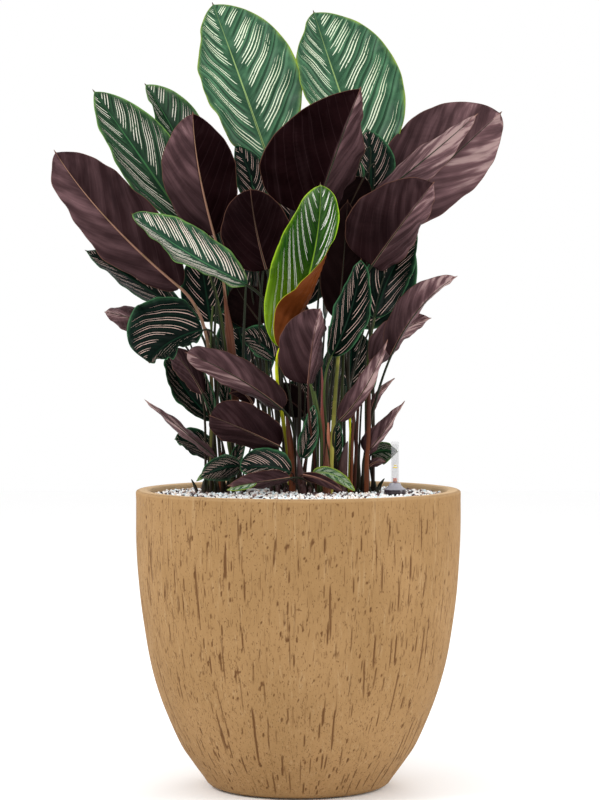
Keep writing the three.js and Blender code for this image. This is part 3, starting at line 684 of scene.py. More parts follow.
def gauge():
    """The water gauge, each part turned from a profile of radius and height."""
    def turned(name, node, profile, material, slot, body="planted_pot"):
        points, faces = lathe(profile, 40, GAUGE)
        piece(name, points, faces, [material], body=body, slot=slot, replaces=[node], sharp=35)

    clear = clear_plastic()
    turned("gauge_tube", "gauge_sight_tube",
           [(4.6, 440.2), (6, 440.2), (6, 513.4), (5.7, 514), (4.9, 514), (4.6, 513.6)],
           clear, "gauge_clear")
    turned("gauge_end_cap", "gauge_cap",
           [(0, 514.3), (5.6, 514.3), (6, 514.7), (6, 517), (5.7, 517.7), (5, 518), (0, 518)],
           clear, "gauge_clear")
    turned("gauge_foot", "gauge_collar",
           [(6.3, 440.2), (15.6, 440.2), (16.2, 440.8), (16.2, 446.2), (15.9, 447), (14.8, 448.2),
            (12.6, 449.6), (10.4, 451.6), (9, 453.6), (8.4, 455.4), (8, 456.3), (7.4, 456.5), (6.5, 456.5),
            (6.3, 456.2)],
           smoked_plastic(), "gauge_collar_plastic")
    grooves = [(r, low + z) for low in range(78, 399, 40)
               for r, z in ((11, 0), (11, 34), (10.4, 35), (10.4, 39))]
    turned("gauge_guide", "gauge_guide_tube", [(9, 78), *grooves, (11, 439.9), (9, 439.9)],
           mottled("gauge_plastic", (0.02, 0.02, 0.023), (0.035, 0.035, 0.04), 300.0, 0.45, 0.1, 0.0005),
           "gauge_plastic")
    turned("gauge_float_and_mark", "gauge_float",
           [(0, 84), (5.5, 84), (7, 85), (7.4, 87), (7.4, 138), (7, 140.5), (5.5, 142.5), (1.6, 145),
            (1.3, 146), (1.3, 456), (2.4, 457), (2.9, 457.6), (2.9, 463), (2.5, 463.6), (0, 463.8)],
           marker_plastic(), "gauge_marker", body="float")

    # Two plain yellow lines on the front of the tube, each a thin bent bar of four sides.
    yellow = mottled("gauge_scale", (0.72, 0.50, 0.02), (0.85, 0.62, 0.05), 220.0, 0.4, 0.1, 0.0003)
    inner, outer, steps = 6.02, 6.14, 13
    for number, (low, high, half_angle) in enumerate([(479.0, 480.4, 0.52), (482.4, 483.6, 0.34)]):
        points = [(GAUGE[0] + r * math.cos(a), GAUGE[1] + r * math.sin(a), z)
                  for a in np.linspace(-math.pi / 2 - half_angle, -math.pi / 2 + half_angle, steps)
                  for r, z in ((inner, low), (inner, high), (outer, high), (outer, low))]
        piece(f"gauge_scale_line_{number}", points, tube_faces(steps, 4), [yellow], slot="gauge_clear")


gauge()


# ---------- leaves ----------
def seen(across, up, depth):
    """A place laid out as the eye sees it: across and up on the plane y = 0, and the depth behind it."""
    k = (EYE_DISTANCE + depth) / EYE_DISTANCE
    return np.stack(np.broadcast_arrays(across * k, depth, EYE_HEIGHT + (up - EYE_HEIGHT) * k), -1)


def rib_point(rib, v):
    """The midrib's curve through its three points, which it passes at v = 0, 0.5 and 1."""
    weights = np.stack([(1 - v) * (1 - 2 * v), 4 * v * (1 - v), v * (2 * v - 1)], -1)
    return weights @ np.asarray(rib, float)


def fullness(full, v):
    """The width at v as a part of the greatest one. full says how blunt the base and the tip are."""
    base, tip = full
    widest = base / (base + tip)
    v = np.clip(v, 0, 1)
    return v**base * (1 - v) ** tip / (widest**base * (1 - widest) ** tip)


def pair(value):
    """One number stands for both halves."""
    return value if isinstance(value, tuple) else (value, value)


TAIL = 0.975                 # the blade ends here, and its thin tail runs on to the tip
TAIL_WIDTH = 1.1


class Blade:
    """The middle surface of a leaf blade. u runs from -1 at the left margin to 1 at the right one, and v from
    the foot to the tip. Each half leans away from the eye by tilt at the midrib and curls on from there, and
    both change along v to tip_tilt and tip_curl. A roll is the part of the right half that is wound up, and
    how far it curls at even steps along v."""

    def __init__(self, rib, half, tilt, curl, tip_tilt=None, tip_curl=None, full=(0.55, 0.75), roll=None):
        self.rib, self.half, self.full, self.roll = rib, pair(half), full, roll
        self.tilt = pair(tilt), pair(tip_tilt or tilt)
        self.curl = pair(curl), pair(tip_curl or curl)
        ends = rib_point(rib, np.linspace(0, 1, 5))
        self.length = float(np.linalg.norm(np.diff(ends, axis=0), axis=1).sum())

    def flat(self, u, v):
        """The place, the millimetres from the midrib and to the margin, and the lean, for arrays u and v."""
        right = u >= 0

        def pick(halves):
            return np.where(right, halves[1], halves[0])

        def angle(ends):
            return np.radians(pick(ends[0]) * (1 - v) + pick(ends[1]) * v)

        p, q = rib_point(self.rib, v), rib_point(self.rib, v + 0.01)
        dx, dy = q[..., 0] - p[..., 0], q[..., 1] - p[..., 1]
        size = np.hypot(dx, dy)
        tilt, curl = angle(self.tilt), angle(self.curl)
        share = np.ones_like(u)
        if self.roll:
            part, curls = self.roll
            curl = np.where(right, np.radians(np.interp(v, np.linspace(0, 1, len(curls)), curls)), curl)
            share = np.where(right, part, share)
        curl = np.where(np.abs(curl) < 1e-3, 1e-3, curl)
        tail = TAIL_WIDTH * np.clip((1 - v) / (1 - TAIL), 0, 1) ** 0.5 * (v > 0.9)
        width = np.maximum(pick(self.half) * fullness(self.full, v / TAIL), tail)
        out = np.abs(u)
        end, straight = tilt + curl * np.minimum(out / share, 1), np.maximum(out - share, 0)
        reach = width * (share * (np.sin(end) - np.sin(tilt)) / curl + straight * np.cos(end))
        back = width * (share * (np.cos(tilt) - np.cos(end)) / curl + straight * np.sin(end))
        turn = np.where(right, 1, -1)
        across = p[..., 0] + turn * reach * dy / size
        up = p[..., 1] - turn * reach * dx / size
        return seen(across, up, p[..., 2] + back), width * out, width * (1 - out), end


def across_normals(grid):
    """Unit normals of a grid [v][u], towards the viewer for a blade that faces them."""
    normal = np.cross(np.gradient(grid, axis=1), np.gradient(grid, axis=0))
    return normal / np.maximum(np.linalg.norm(normal, axis=-1, keepdims=True), 1e-9)


def blade_grid(blade):
    """u and v at each row and column: about a row for each 1.7 mm of length, closer together towards the foot
    and the tip, and a column for each 3.4 mm of width."""
    rows = int(np.clip(blade.length / 1.7, 46, 160))
    half_columns = int(np.clip(max(blade.half) / 3.4, 7, 24))
    v = (1 - np.cos(np.linspace(0.035, 1, rows) * math.pi)) / 2
    v = 0.35 * v + 0.65 * np.linspace(v[0], 1, rows)
    v[-1] = 0.9995
    spread = np.linspace(0, 1, half_columns + 1)[1:]
    return np.meshgrid(np.concatenate([-spread[::-1], [0], spread]), v)


def side_veins(blade, u, v, rib_mm, climb, groups):
    """The side-vein number, which grows by one from each side vein to the next. climb says how steeply they
    leave the midrib and how much they sweep up towards the margin."""
    half = np.where(u >= 0, blade.half[1], blade.half[0])
    tilt = np.where(u >= 0, blade.tilt[0][1], blade.tilt[0][0])
    steep, sweep = climb
    rise = (steep * (0.85 + 0.75 * v) * rib_mm + sweep * rib_mm**2 / half) / blade.length
    rise = rise * np.clip(np.cos(np.radians(tilt)) ** -1.5, 1, 1.6)
    return (v - rise) * groups


def relief(u, v, vein, rib_mm, scale, facing, wave, rng):
    """Heights over the blade's middle surface: ribs, a wavy margin, and the groove along the midrib."""
    out = np.abs(u)
    body = np.sin(np.clip(out * 1.08, 0, 1) * math.pi) ** 0.7
    taper = np.clip(v / 0.12, 0, 1) * np.clip((1 - v) / 0.10, 0, 1)
    height = facing * scale * 0.85 * np.cos(TURN * vein + 0.35 * np.sin(9 * v)) * body * taper
    height += facing * scale * 0.22 * np.cos(TURN * vein * 3 + 1) * body * taper
    for cycles, size in ((2.1, 2.6), (4.3, 1.5), (8.5, 0.55)):
        phase = np.where(u >= 0, rng.uniform(0, 6.3), rng.uniform(0, 6.3))
        height += wave * scale * size * out**2.2 * np.sin(TURN * cycles * v + phase) * taper
    return height - facing * 0.55 * np.exp(-((rib_mm / 1.7) ** 2)) * np.clip((0.97 - v) / 0.3, 0, 1)


def blade_faces(rows, columns):
    """Faces of both sides and of the margin between them, and the number of each face's skin. Both sides are
    split along the same diagonals, so that neither comes through the other in a fold."""
    grid = np.arange(rows * columns).reshape(rows, columns)
    a, b, c, d = grid[:-1, :-1], grid[:-1, 1:], grid[1:, 1:], grid[1:, :-1]
    near = np.stack([a, b, c, a, c, d], -1).reshape(-1, 3)
    far = near[:, ::-1] + grid.size
    border = np.concatenate([grid[0], grid[1:, -1], grid[-1, -2::-1], grid[-2:0:-1, 0]])
    following = np.roll(border, -1)
    margin = np.stack([following, border, border + grid.size, following + grid.size], -1)
    skins = [0] * len(near) + [1] * len(far) + [0] * len(margin)
    return near.tolist() + far.tolist() + margin.tolist(), skins


def bezier(a, b, c, d, t):
    t = t[:, None]
    return a * (1 - t) ** 3 + 3 * b * t * (1 - t) ** 2 + 3 * c * t**2 * (1 - t) + d * t**3


def petiole_path(blade, foot, bend, own):
    """A curve up out of the crown and into the blade, swaying a little, and how far along each point is."""
    base, ahead = blade.flat(np.zeros(2), np.array([0, 0.04]))[0]
    along = unit(ahead - base)
    start = np.array([foot[0], foot[1], LEAF_FOOT])
    rise = np.linalg.norm(base - start)
    t = np.linspace(0, 0.985, 34)
    path = bezier(start, start + (0, 0, rise * bend[0]), base - along * rise * bend[1], base, t)
    sway = rise * 0.006 * np.array([math.cos(own), math.sin(own), 0])
    return path + (np.sin(t * math.pi) ** 2)[:, None] * sway, t


# Each look is the skin of the side towards the viewer, the skin of the other side, the slot, and 1 where the
# upper side faces the viewer or -1 where the underside does.
LOOKS = {
    "top": ("leaf_striped_light", "leaf_underside", "leaf_striped", 1),
    "mid": ("leaf_striped_middle", "leaf_underside", "leaf_striped", 1),
    "hanging": ("leaf_striped_dark", "leaf_underside", "leaf_underside", 1),
    "lined": ("leaf_striped_close", "leaf_underside", "leaf_striped", 1),
    "dark": ("leaf_striped_dark", "leaf_underside", "leaf_striped", 1),
    "maroon": ("leaf_underside", "leaf_striped_dark", "leaf_underside", -1),
    # The shaded underside skin: painted shade for leaves deep in the plant.
    "shaded_maroon": ("leaf_underside_shaded", "leaf_striped_dark", "leaf_underside", -1),
    "young": ("leaf_young_upper", "leaf_young_underside", "leaf_young", 1),
}
LOW_CORNER, HIGH_CORNER = (np.array(corner) / MM for corner in CAD_BOX)
LEAVES = []                  # the number of a leaf, by which it is random, is its place in this list


def leaf(name, look, foot, rib, half, tilt, curl=0, stalk="dark", pale=0.05, groups=8, wave=1,
         climb=(1, 0.42), bend=(0.4, 0.28), thick=1, extra=False, **shape):
    """One leaf, its petiole and blade in one piece. It stands for the node of its name unless it is extra."""
    number = len(LEAVES)
    LEAVES.append(name)
    rng = np.random.default_rng(100 + number)
    blade = Blade(rib, half, tilt, curl, **shape)
    near, far, slot, facing = LOOKS[look]
    u, v = blade_grid(blade)
    grid, rib_mm, edge_mm, lean = blade.flat(u, v)
    vein = side_veins(blade, u, v, rib_mm, climb, groups)
    height = relief(u, v, vein, rib_mm, max(blade.half) / 60, facing, wave, rng)
    own = rng.uniform(0, 9)
    # The first and the last rows are nearly points, so they take their neighbour's normals.
    normals = across_normals(grid)
    normals[:3] = normals[3]
    middle = grid + normals * height[..., None]
    normals = across_normals(middle)
    normals[:2] = normals[2]
    normals[-1] = normals[-2]
    # Half the thickness: most at the midrib, least at the margin, and thinning to the tip.
    thickness = np.where(np.abs(u) > 0.999, 0.1, 0.26 + 0.3 * np.exp(-((rib_mm / 3) ** 2)))
    offset = normals * (thickness * np.clip((1 - v) / 0.02, 0.25, 1))[..., None]
    faces, slots = blade_faces(*u.shape)

    # The petiole, thickest in the crown, which runs on as the raised midrib of the underside.
    path, t = petiole_path(blade, foot, bend, own)
    column = u.shape[1] // 2
    on_blade = v[:, column] < 0.93
    spine = (middle - facing * normals * 0.35)[on_blade, column][2::3]
    size = thick * float(np.clip(blade.length / 210, 0.62, 1.0))
    radii = np.interp(t, [0, 0.04, 0.12, 0.5, 1], [4.6, 3.9, 3.2, 2.7, 2.15]) * size
    ridge = np.interp(v[on_blade, column][2::3], [0, 0.1, 0.5, 0.93], [1.75, 1.35, 0.85, 0.35]) * size
    stalk_points, stalk_faces = tube(np.concatenate([path, spine]), np.concatenate([radii, ridge]),
                                     unit(grid[3, 0] - grid[3, -1]))
    faces += [[2 * u.size + corner for corner in face] for face in stalk_faces]
    slots += [2] * len(stalk_faces)
    blade_points = np.stack([middle + offset, middle - offset]).reshape(-1, 3)
    points = np.concatenate([blade_points, stalk_points])

    # Each half has a paleness of its own, a painted light level. Where it leans away it is paler, a painted
    # sheen strongest close to the midrib.
    left_sheen_level, right_sheen_level = pair(pale)
    leaning = np.clip((np.degrees(lean) - 24) / 42, 0, 1)
    painted_sheen = np.where(u >= 0, right_sheen_level, left_sheen_level) + leaning * (0.12 + 0.40 * np.exp(-((rib_mm / 8) ** 2)))
    # Painted shade and light along the blade: darker towards the foot, in the plant's shade, and paler
    # towards the tip.
    painted_sheen = (painted_sheen * np.interp(v, (0, 0.35, 0.75, 1), (0.2, 0.7, 1.2, 1.35))).ravel()
    marks = np.stack([u, v, vein + 40 * number + 20], -1).reshape(-1, 3)
    reach = np.stack([rib_mm, edge_mm, np.full_like(u, own)], -1).reshape(-1, 3)
    stalk_marks = tube_marks(np.concatenate([t, np.ones(len(spine))]), 10, own)
    piece(name if extra else name + "_blade",
          np.clip(points, LOW_CORNER + CLEAR_OF_BOX, HIGH_CORNER - CLEAR_OF_BOX), faces,
          [SKIN[near], SKIN[far], SKIN["petiole_" + stalk]], slot=slot, replaces=[] if extra else [name],
          slots_of_faces=slots,
          attributes={"leaf": np.concatenate([marks, marks, stalk_marks]),
                      "reach": np.concatenate([reach, reach, np.zeros_like(stalk_points)]),
                      "painted_sheen": np.concatenate([painted_sheen, painted_sheen, np.zeros(len(stalk_points))])})


def small_leaf(name, look, foot, rib, half, tilt=0, **more):
    """A leaf beyond those of the CAD model."""
    leaf(name, look, foot, rib, half, tilt, thick=0.75, extra=True, **more)


leaf("leaf_top_left", "top", (-34, 116), ((-45, 939, 120), (-90, 1068, 145), (-129, 1174, 185)),
     half=(76, 90), tilt=(-34, -6), curl=(-16, -10), full=(0.55, 0.68), stalk="olive", wave=0.9,
     climb=(0.65, 0.3))
leaf("leaf_top_right", "top", (22, 124), ((104, 922, 138), (56, 1058, 160), (22, 1162, 195)), half=(78, 96),
     tilt=(-40, -4), curl=(-14, -10), full=(0.5, 0.66), stalk="olive", wave=0.9, climb=(0.65, 0.3))
leaf("leaf_top_middle", "maroon", (26, 40), ((24, 852, 28), (60, 958, 0), (94, 1048, -45)), half=(104, 62),
     tilt=(2, 44), curl=(12, 10), full=(0.3, 0.8), pale=(0, 0.12))
leaf("leaf_dark_round", "maroon", (-22, 34), ((-48, 774, 5), (-63, 834, -15), (-72, 897, -42)), half=(56, 54),
     tilt=8, curl=20, full=(0.5, 0.55), pale=0.01)
leaf("leaf_upper_left_back", "mid", (-56, 112), ((-155, 916, 110), (-192, 991, 128), (-230, 1053, 155)),
     half=(40, 46), tilt=(-62, -8), curl=-8, groups=4.5)
leaf("leaf_upper_left", "mid", (-100, 46), ((-170, 846, 62), (-242, 951, 80), (-308, 1044, 105)),
     half=(50, 56), tilt=(-38, -6), curl=(-10, -6), stalk="olive", groups=6, climb=(1.1, 0.8))
leaf("leaf_left_middle", "maroon", (-100, 22), ((-126, 826, 38), (-149, 924, 22), (-158, 1011, -2)), half=58,
     tilt=8, curl=16, full=(0.6, 0.7), stalk="tan", pale=(0.32, 0), wave=1.1)
leaf("leaf_far_left", "maroon", (-131, 3), ((-177, 747, -5), (-288, 852, -38), (-366, 954, -60)),
     half=(47, 66), tilt=(14, 8), curl=18, full=(0.5, 0.6), stalk="tan", pale=(0.25, 0.1), wave=1.7)
leaf("leaf_striped_left", "lined", (-36, -2), ((-77, 751, -62), (-165, 799, -98), (-252, 860, -112)),
     half=(44, 42), tilt=(-62, 12), curl=(-12, 10), full=(0.6, 0.6), groups=7.5, wave=1.6)
leaf("leaf_curled_left", "dark", (-136, 26), ((-170, 706, 34), (-252, 762, 48), (-320, 804, 56)),
     half=(36, 38), tilt=(-55, 40), curl=(-16, 14), groups=7)
leaf("leaf_round_left", "dark", (-131, -14), ((-143, 684, -28), (-195, 664, -58), (-224, 634, -100)),
     half=(52, 74), tilt=(-66, 6), curl=(-6, 12), full=(0.5, 0.5), groups=6, wave=1.4, bend=(0.5, 0.2))
leaf("leaf_small_left", "maroon", (-140, 12), ((-200, 684, 22), (-252, 702, 12), (-291, 711, 2)), half=30,
     tilt=(42, 50), curl=10, pale=0.3)
leaf("leaf_behind_left", "dark", (-119, 45), ((-132, 696, 66), (-140, 751, 76), (-150, 811, 86)),
     half=(38, 34), tilt=-6, curl=-6, groups=6)
leaf("leaf_low_long", "maroon", (-6, -8), ((-24, 565, -42), (-90, 612, -62), (-170, 651, -70)), half=34,
     tilt=(68, 18), curl=(10, 22), tip_tilt=(36, 22), tip_curl=(14, 22), full=(0.3, 0.36), pale=(0.42, 0.24))
leaf("leaf_low_dark", "maroon", (-112, 4), ((-143, 588, -8), (-171, 633, -10), (-195, 654, -10)), half=26,
     tilt=40, curl=10, pale=0.06)
leaf("leaf_new_bright", "young", (-12, 14), ((-27, 657, -52), (20, 782, -74), (33, 906, -58)), half=(66, 72),
     tilt=(-8, -10), curl=(-20, 0), tip_tilt=(-30, -32), tip_curl=(-20, 0), full=(0.5, 0.56),
     roll=(0.5, (-168, -172, -112, -84, -52, -30, -14)), stalk="young", groups=9.0, wave=0.5,
     climb=(1.15, 1.5), bend=(0.4, 0.2))
leaf("leaf_low_striped", "dark", (-114, 32), ((-129, 549, 37), (-174, 601, 50), (-195, 651, 54)),
     half=(34, 40), tilt=(-50, -20), curl=(-10, -8), groups=5.5)
leaf("leaf_thin_left", "maroon", (-114, -16), ((-121, 490, -36), (-174, 534, -50), (-231, 580, -64)), half=28,
     tilt=72, curl=6, pale=(0.35, 0.45), bend=(0.35, 0.2))
leaf("leaf_small_low_left", "dark", (-134, 38), ((-128, 489, 40), (-160, 514, 34), (-186, 520, 24)), half=28,
     tilt=(-58, 24), curl=(-8, 8), groups=4.5, bend=(0.35, 0.2))
leaf("leaf_low_broad", "maroon", (-20, -22), ((-28, 509, -38), (-80, 534, -72), (-134, 556, -86)),
     half=(36, 42), tilt=(54, 16), curl=(14, 18), tip_tilt=(24, 10), tip_curl=(14, 18), full=(0.34, 0.3),
     pale=0.05, bend=(0.4, 0.2))
leaf("leaf_low_round", "dark", (-8, -20), ((-11, 470, -41), (-50, 479, -76), (-89, 474, -100)), half=(30, 32),
     tilt=(-48, 20), curl=(-8, 12), full=(0.5, 0.55), stalk="red", groups=5.5, bend=(0.5, 0.25))
leaf("leaf_low_hanging", "hanging", (-98, -8), ((-86, 480, -48), (-117, 476, -82), (-148, 462, -104)),
     half=(26, 24), tilt=(36, 34), curl=8, bend=(0.4, 0.3))
leaf("leaf_lying", "maroon", (22, -38), ((-12, 462, -84), (-58, 456, -118), (-107, 450, -146)), half=(22, 20),
     tilt=(60, 30), curl=8, pale=0.08, bend=(0.4, 0.3))
leaf("leaf_front_middle", "maroon", (27, -14), ((15, 603, -78), (22, 666, -108), (33, 717, -130)),
     half=(54, 44), tilt=(8, 60), curl=(22, 16), full=(0.36, 0.56), stalk="red", pale=(0.15, 0.2))
leaf("leaf_striped_right", "dark", (50, -4), ((50, 645, -58), (80, 718, -84), (94, 792, -80)), half=(36, 38),
     tilt=(-42, -34), curl=(-10, -12), stalk="olive", groups=5.5)
leaf("leaf_small_upper_right", "dark", (50, 99), ((109, 894, 84), (108, 939, 88), (103, 986, 94)),
     half=(34, 38), tilt=(-24, -10), curl=-8, groups=5.5, bend=(0.42, 0.3))
leaf("leaf_large_right", "maroon", (61, 109), ((130, 846, 104), (224, 936, 104), (305, 1011, 84)),
     half=(86, 58), tilt=(6, 8), curl=(10, 16), full=(0.5, 0.6), pale=(0.31, 0.6))
leaf("leaf_folded_right", "maroon", (92, 40), ((112, 879, 44), (189, 939, 20), (269, 1008, 8)), half=40,
     tilt=(58, 42), curl=(8, 10), pale=(0.55, 0.65))
leaf("leaf_middle_right", "maroon", (82, 22), ((110, 780, 0), (159, 848, -26), (204, 906, -42)),
     half=(76, 46), tilt=(6, 40), curl=(16, 14), full=(0.28, 0.62), pale=(0.08, 0.26))
leaf("leaf_behind_right", "dark", (104, 44), ((115, 702, 36), (140, 771, 44), (180, 834, 52)), half=40,
     tilt=(-20, -36), curl=-8, stalk="olive", groups=6)
leaf("leaf_right", "maroon", (96, 2), ((139, 645, -22), (182, 717, -46), (239, 765, -62)), half=(36, 32),
     tilt=(18, 80), curl=(16, 8), pale=(0.5, 0.6))
leaf("leaf_right_back", "maroon", (106, 14), ((115, 627, 4), (148, 676, -2), (200, 702, -8)), half=(36, 34),
     tilt=(34, 60), curl=8, pale=(0.3, 0.35))
leaf("leaf_low_right", "maroon", (62, -16), ((62, 548, -60), (102, 600, -78), (134, 670, -76)), half=(24, 16),
     tilt=(34, 46), curl=10, full=(0.4, 0.8), pale=(0.38, 0.52))
leaf("leaf_small_right", "maroon", (98, -12), ((102, 499, -22), (126, 528, -32), (160, 578, -24)),
     half=(27, 18), tilt=(34, 62), curl=10, full=(0.35, 0.9), pale=(0.35, 0.5), bend=(0.35, 0.25))
leaf("leaf_by_gauge", "mid", (114, 44), ((110, 498, 28), (128, 504, 12), (150, 501, 6)), half=(20, 24),
     tilt=(-50, 20), curl=(-6, 6), groups=4, bend=(0.4, 0.25))
leaf("leaf_low_behind", "shaded_maroon", (4, 52), ((11, 556, 54), (-21, 582, 57), (-60, 586, 58)), half=28, tilt=24,
     curl=10, stalk="red")
leaf("leaf_small_striped", "dark", (-4, 48), ((-35, 639, 36), (-60, 666, 38), (-86, 677, 40)), half=(24, 28),
     tilt=(-40, 0), curl=(-6, 6), groups=5)
leaf("leaf_shadow_left", "shaded_maroon", (-36, 48), ((-54, 692, 50), (-78, 724, 56), (-95, 752, 60)), half=34,
     tilt=10, curl=10)
leaf("leaf_back_left", "dark", (-48, 132), ((-80, 690, 165), (-112, 780, 212), (-120, 868, 262)), half=62,
     tilt=-14, curl=-10)
leaf("leaf_back_middle", "dark", (-8, 138), ((4, 720, 160), (0, 820, 205), (-12, 905, 250)), half=66,
     tilt=-12, curl=-10)
leaf("leaf_back_right", "dark", (38, 134), ((84, 690, 170), (124, 772, 214), (146, 850, 258)), half=60,
     tilt=(-12, -14), curl=-10)
leaf("leaf_back_low", "dark", (10, 146), ((22, 540, 190), (30, 600, 236), (34, 640, 280)), half=46, tilt=-16,
     curl=-8, bend=(0.4, 0.25))
leaf("leaf_back_low_left", "dark", (-30, 146), ((-62, 590, 186), (-84, 660, 226), (-92, 716, 272)), half=46,
     tilt=-16, curl=-8, bend=(0.4, 0.25))
leaf("leaf_back_low_right", "dark", (50, 132), ((66, 570, 172), (78, 632, 206), (78, 690, 246)), half=46,
     tilt=-16, curl=-8, bend=(0.4, 0.25))

# Small leaves low among the stalks and between the tall ones, and leaves in the shade.
small_leaf("small_leaf_middle", "dark", (18, -24), ((6, 492, -30), (18, 530, -34), (23, 574, -32)),
           half=(19, 15), tilt=(-40, -30), full=(0.4, 0.7), groups=5)
small_leaf("small_leaf_inner_right", "dark", (46, -14), ((54, 484, -20), (56, 515, -24), (59, 547, -22)),
           half=12, tilt=-20, full=(0.5, 0.6), groups=5)
small_leaf("small_leaf_dark_left", "maroon", (-86, 10), ((-68, 572, 8), (-84, 590, 4), (-104, 588, 0)),
           half=12, tilt=20)
small_leaf("small_leaf_left_0", "dark", (-104, -6), ((-126, 556, -2), (-138, 596, 4), (-150, 636, 8)),
           half=13, tilt=-50, groups=5)
small_leaf("small_leaf_left_1", "dark", (-96, 6), ((-106, 560, 8), (-112, 596, 14), (-118, 634, 20)), half=13,
           tilt=-45, groups=5)
small_leaf("small_leaf_left_2", "dark", (-92, -12), ((-96, 476, -16), (-91, 498, -20), (-80, 518, -22)),
           half=11, tilt=-30, groups=4)
small_leaf("small_leaf_tip_left", "mid", (-108, -12), ((-132, 474, -70), (-142, 466, -84), (-153, 457, -96)),
           half=5, tilt=(-30, 20), groups=3)
small_leaf("small_leaf_lying_left", "top", (2, -44), ((-62, 456, -120), (-84, 451, -132), (-108, 443, -142)),
           half=(8, 6), tilt=(-20, 40), groups=4)
small_leaf("small_leaf_lying_right", "top", (14, -38), ((22, 469, -64), (54, 466, -84), (86, 441, -100)),
           half=(11, 10), tilt=(-30, 20), full=(0.4, 0.6), groups=5)
small_leaf("small_leaf_lying_brown", "maroon", (8, -36), ((7, 466, -68), (36, 459, -88), (66, 443, -104)),
           half=(8, 12), tilt=(20, 40), full=(0.35, 0.45), stalk="red")
small_leaf("small_leaf_right_0", "maroon", (100, 10), ((109, 552, 2), (118, 584, -4), (145, 612, -6)), half=9,
           tilt=50, pale=0.4)
small_leaf("small_leaf_right_1", "maroon", (104, 4), ((107, 480, 0), (118, 486, -4), (131, 486, -8)), half=8,
           tilt=30, pale=0.4)
small_leaf("small_leaf_behind_top", "dark", (-30, 60), ((-70, 872, 64), (-72, 916, 72), (-96, 962, 84)),
           half=(24, 30), tilt=-20, groups=6)
small_leaf("small_leaf_between", "dark", (-14, 56), ((-44, 880, 70), (-50, 915, 78), (-48, 948, 86)), half=22,
           tilt=-20, groups=5)
small_leaf("small_leaf_under_right_top", "dark", (52, 74), ((92, 935, 70), (80, 905, 66), (70, 872, 60)),
           half=17, tilt=-20, groups=4)
# Dark leaves put where the plant lies in deep shade, in the shaded underside skin: painted shade.
for number, (foot, rib, half) in enumerate([
        ((50, 52), ((98, 912, 60), (82, 880, 56), (66, 846, 52)), 24),
        ((46, 44), ((60, 700, 36), (68, 790, 34), (74, 880, 32)), 34),
        ((-20, 60), ((-30, 700, 60), (-34, 752, 62), (-40, 810, 60)), 28),
        ((4, 50), ((8, 640, 44), (0, 690, 46), (-8, 742, 44)), 26)]):
    small_leaf(f"leaf_in_shade_{number}", "shaded_maroon", foot, rib, half)

# Leaves that stand edge-on to the front and fill the sides.
for number, (look, foot, rib, half) in enumerate([
        ("dark", (26, 62), ((44, 850, 66), (54, 930, 92), (60, 1010, 130)), 36),
        ("maroon", (-96, 40), ((-140, 830, 60), (-150, 905, 92), (-158, 975, 130)), 36),
        ("dark", (-30, 60), ((-60, 770, 50), (-66, 830, 82), (-72, 880, 118)), 34),
        ("maroon", (92, 48), ((130, 770, 40), (150, 830, 70), (172, 885, 108)), 36),
        ("dark", (58, 124), ((200, 880, 130), (228, 940, 160), (258, 985, 196)), 34),
        ("dark", (-126, 44), ((-230, 800, 30), (-262, 850, 60), (-292, 900, 96)), 32),
        ("maroon", (-86, 40), ((-110, 600, 30), (-124, 650, 60), (-140, 690, 100)), 26),
        ("dark", (56, 40), ((60, 610, 30), (70, 680, 54), (76, 740, 88)), 26),
        ("maroon", (0, 104), ((0, 760, 96), (-4, 850, 120), (-8, 930, 150)), 38),
        ("dark", (30, 112), ((40, 700, 110), (44, 790, 140), (48, 870, 176)), 34),
        ("dark", (-40, 116), ((-60, 700, 110), (-66, 790, 140), (-70, 860, 180)), 34),
        ("maroon", (60, 110), ((110, 740, 110), (124, 820, 134), (140, 890, 160)), 32)]):
    small_leaf(f"leaf_edgewise_{number}", look, foot, rib, half, (-78, 78), groups=6)


# ---------- rolled leaves, stalks and stumps ----------
def rolled(name, foot, top, radii, skin, turns):
    """A leaf still rolled up: a tapering scroll whose free edge winds round it to the top."""
    count, sides = 90, 28
    foot = np.array([foot[0], foot[1], LEAF_FOOT])
    end = seen(*map(float, top))
    corner = np.array([foot[0], foot[1], (foot[2] + end[2]) / 2])
    t = np.linspace(0, 1, count)[:, None]
    path = foot * (1 - t) ** 2 + corner * (2 * t * (1 - t)) + end * t**2
    radius = np.interp(t, np.linspace(0, 1, len(radii) + 1), [*radii, 0.4])
    angle = around(sides)
    seam = turns * TURN * t
    away = np.abs((angle - seam + math.pi) % TURN - math.pi)
    lip = np.clip(1 - away / 0.5, 0, 1) * 0.13 * np.sin(t * math.pi) ** 0.5
    ribs = 0.02 * np.sin(6 * (angle + seam * 0.5))
    along = unit(np.gradient(path, axis=0))
    front = np.cross(along, (-1, 0, 0))
    points = rings(path, radius * (0.94 + lip + ribs) * 0.97, np.cross(front, along), front, sides)
    piece(name + "_scroll", points, tube_faces(count, sides), [SKIN["rolled_leaf_" + skin]],
          slot="leaf_sheath", replaces=[name],
          attributes={"leaf": tube_marks(t[:, 0], sides, 3 + foot[0]), "reach": np.zeros_like(points)})


rolled("rolled_leaf_left", (-90, 20), (-112, 747, 16), (3, 4, 6, 7.5, 7), "brown", turns=2.6)
rolled("rolled_leaf_middle", (40, 14), (34, 642, 6), (4.5, 6, 6.5, 5, 2), "pink", turns=1.8)
rolled("young_shoot", (6, -40), (-4, 507, -44), (7.5, 7.5, 6, 4, 1.5), "sheath", turns=1.2)


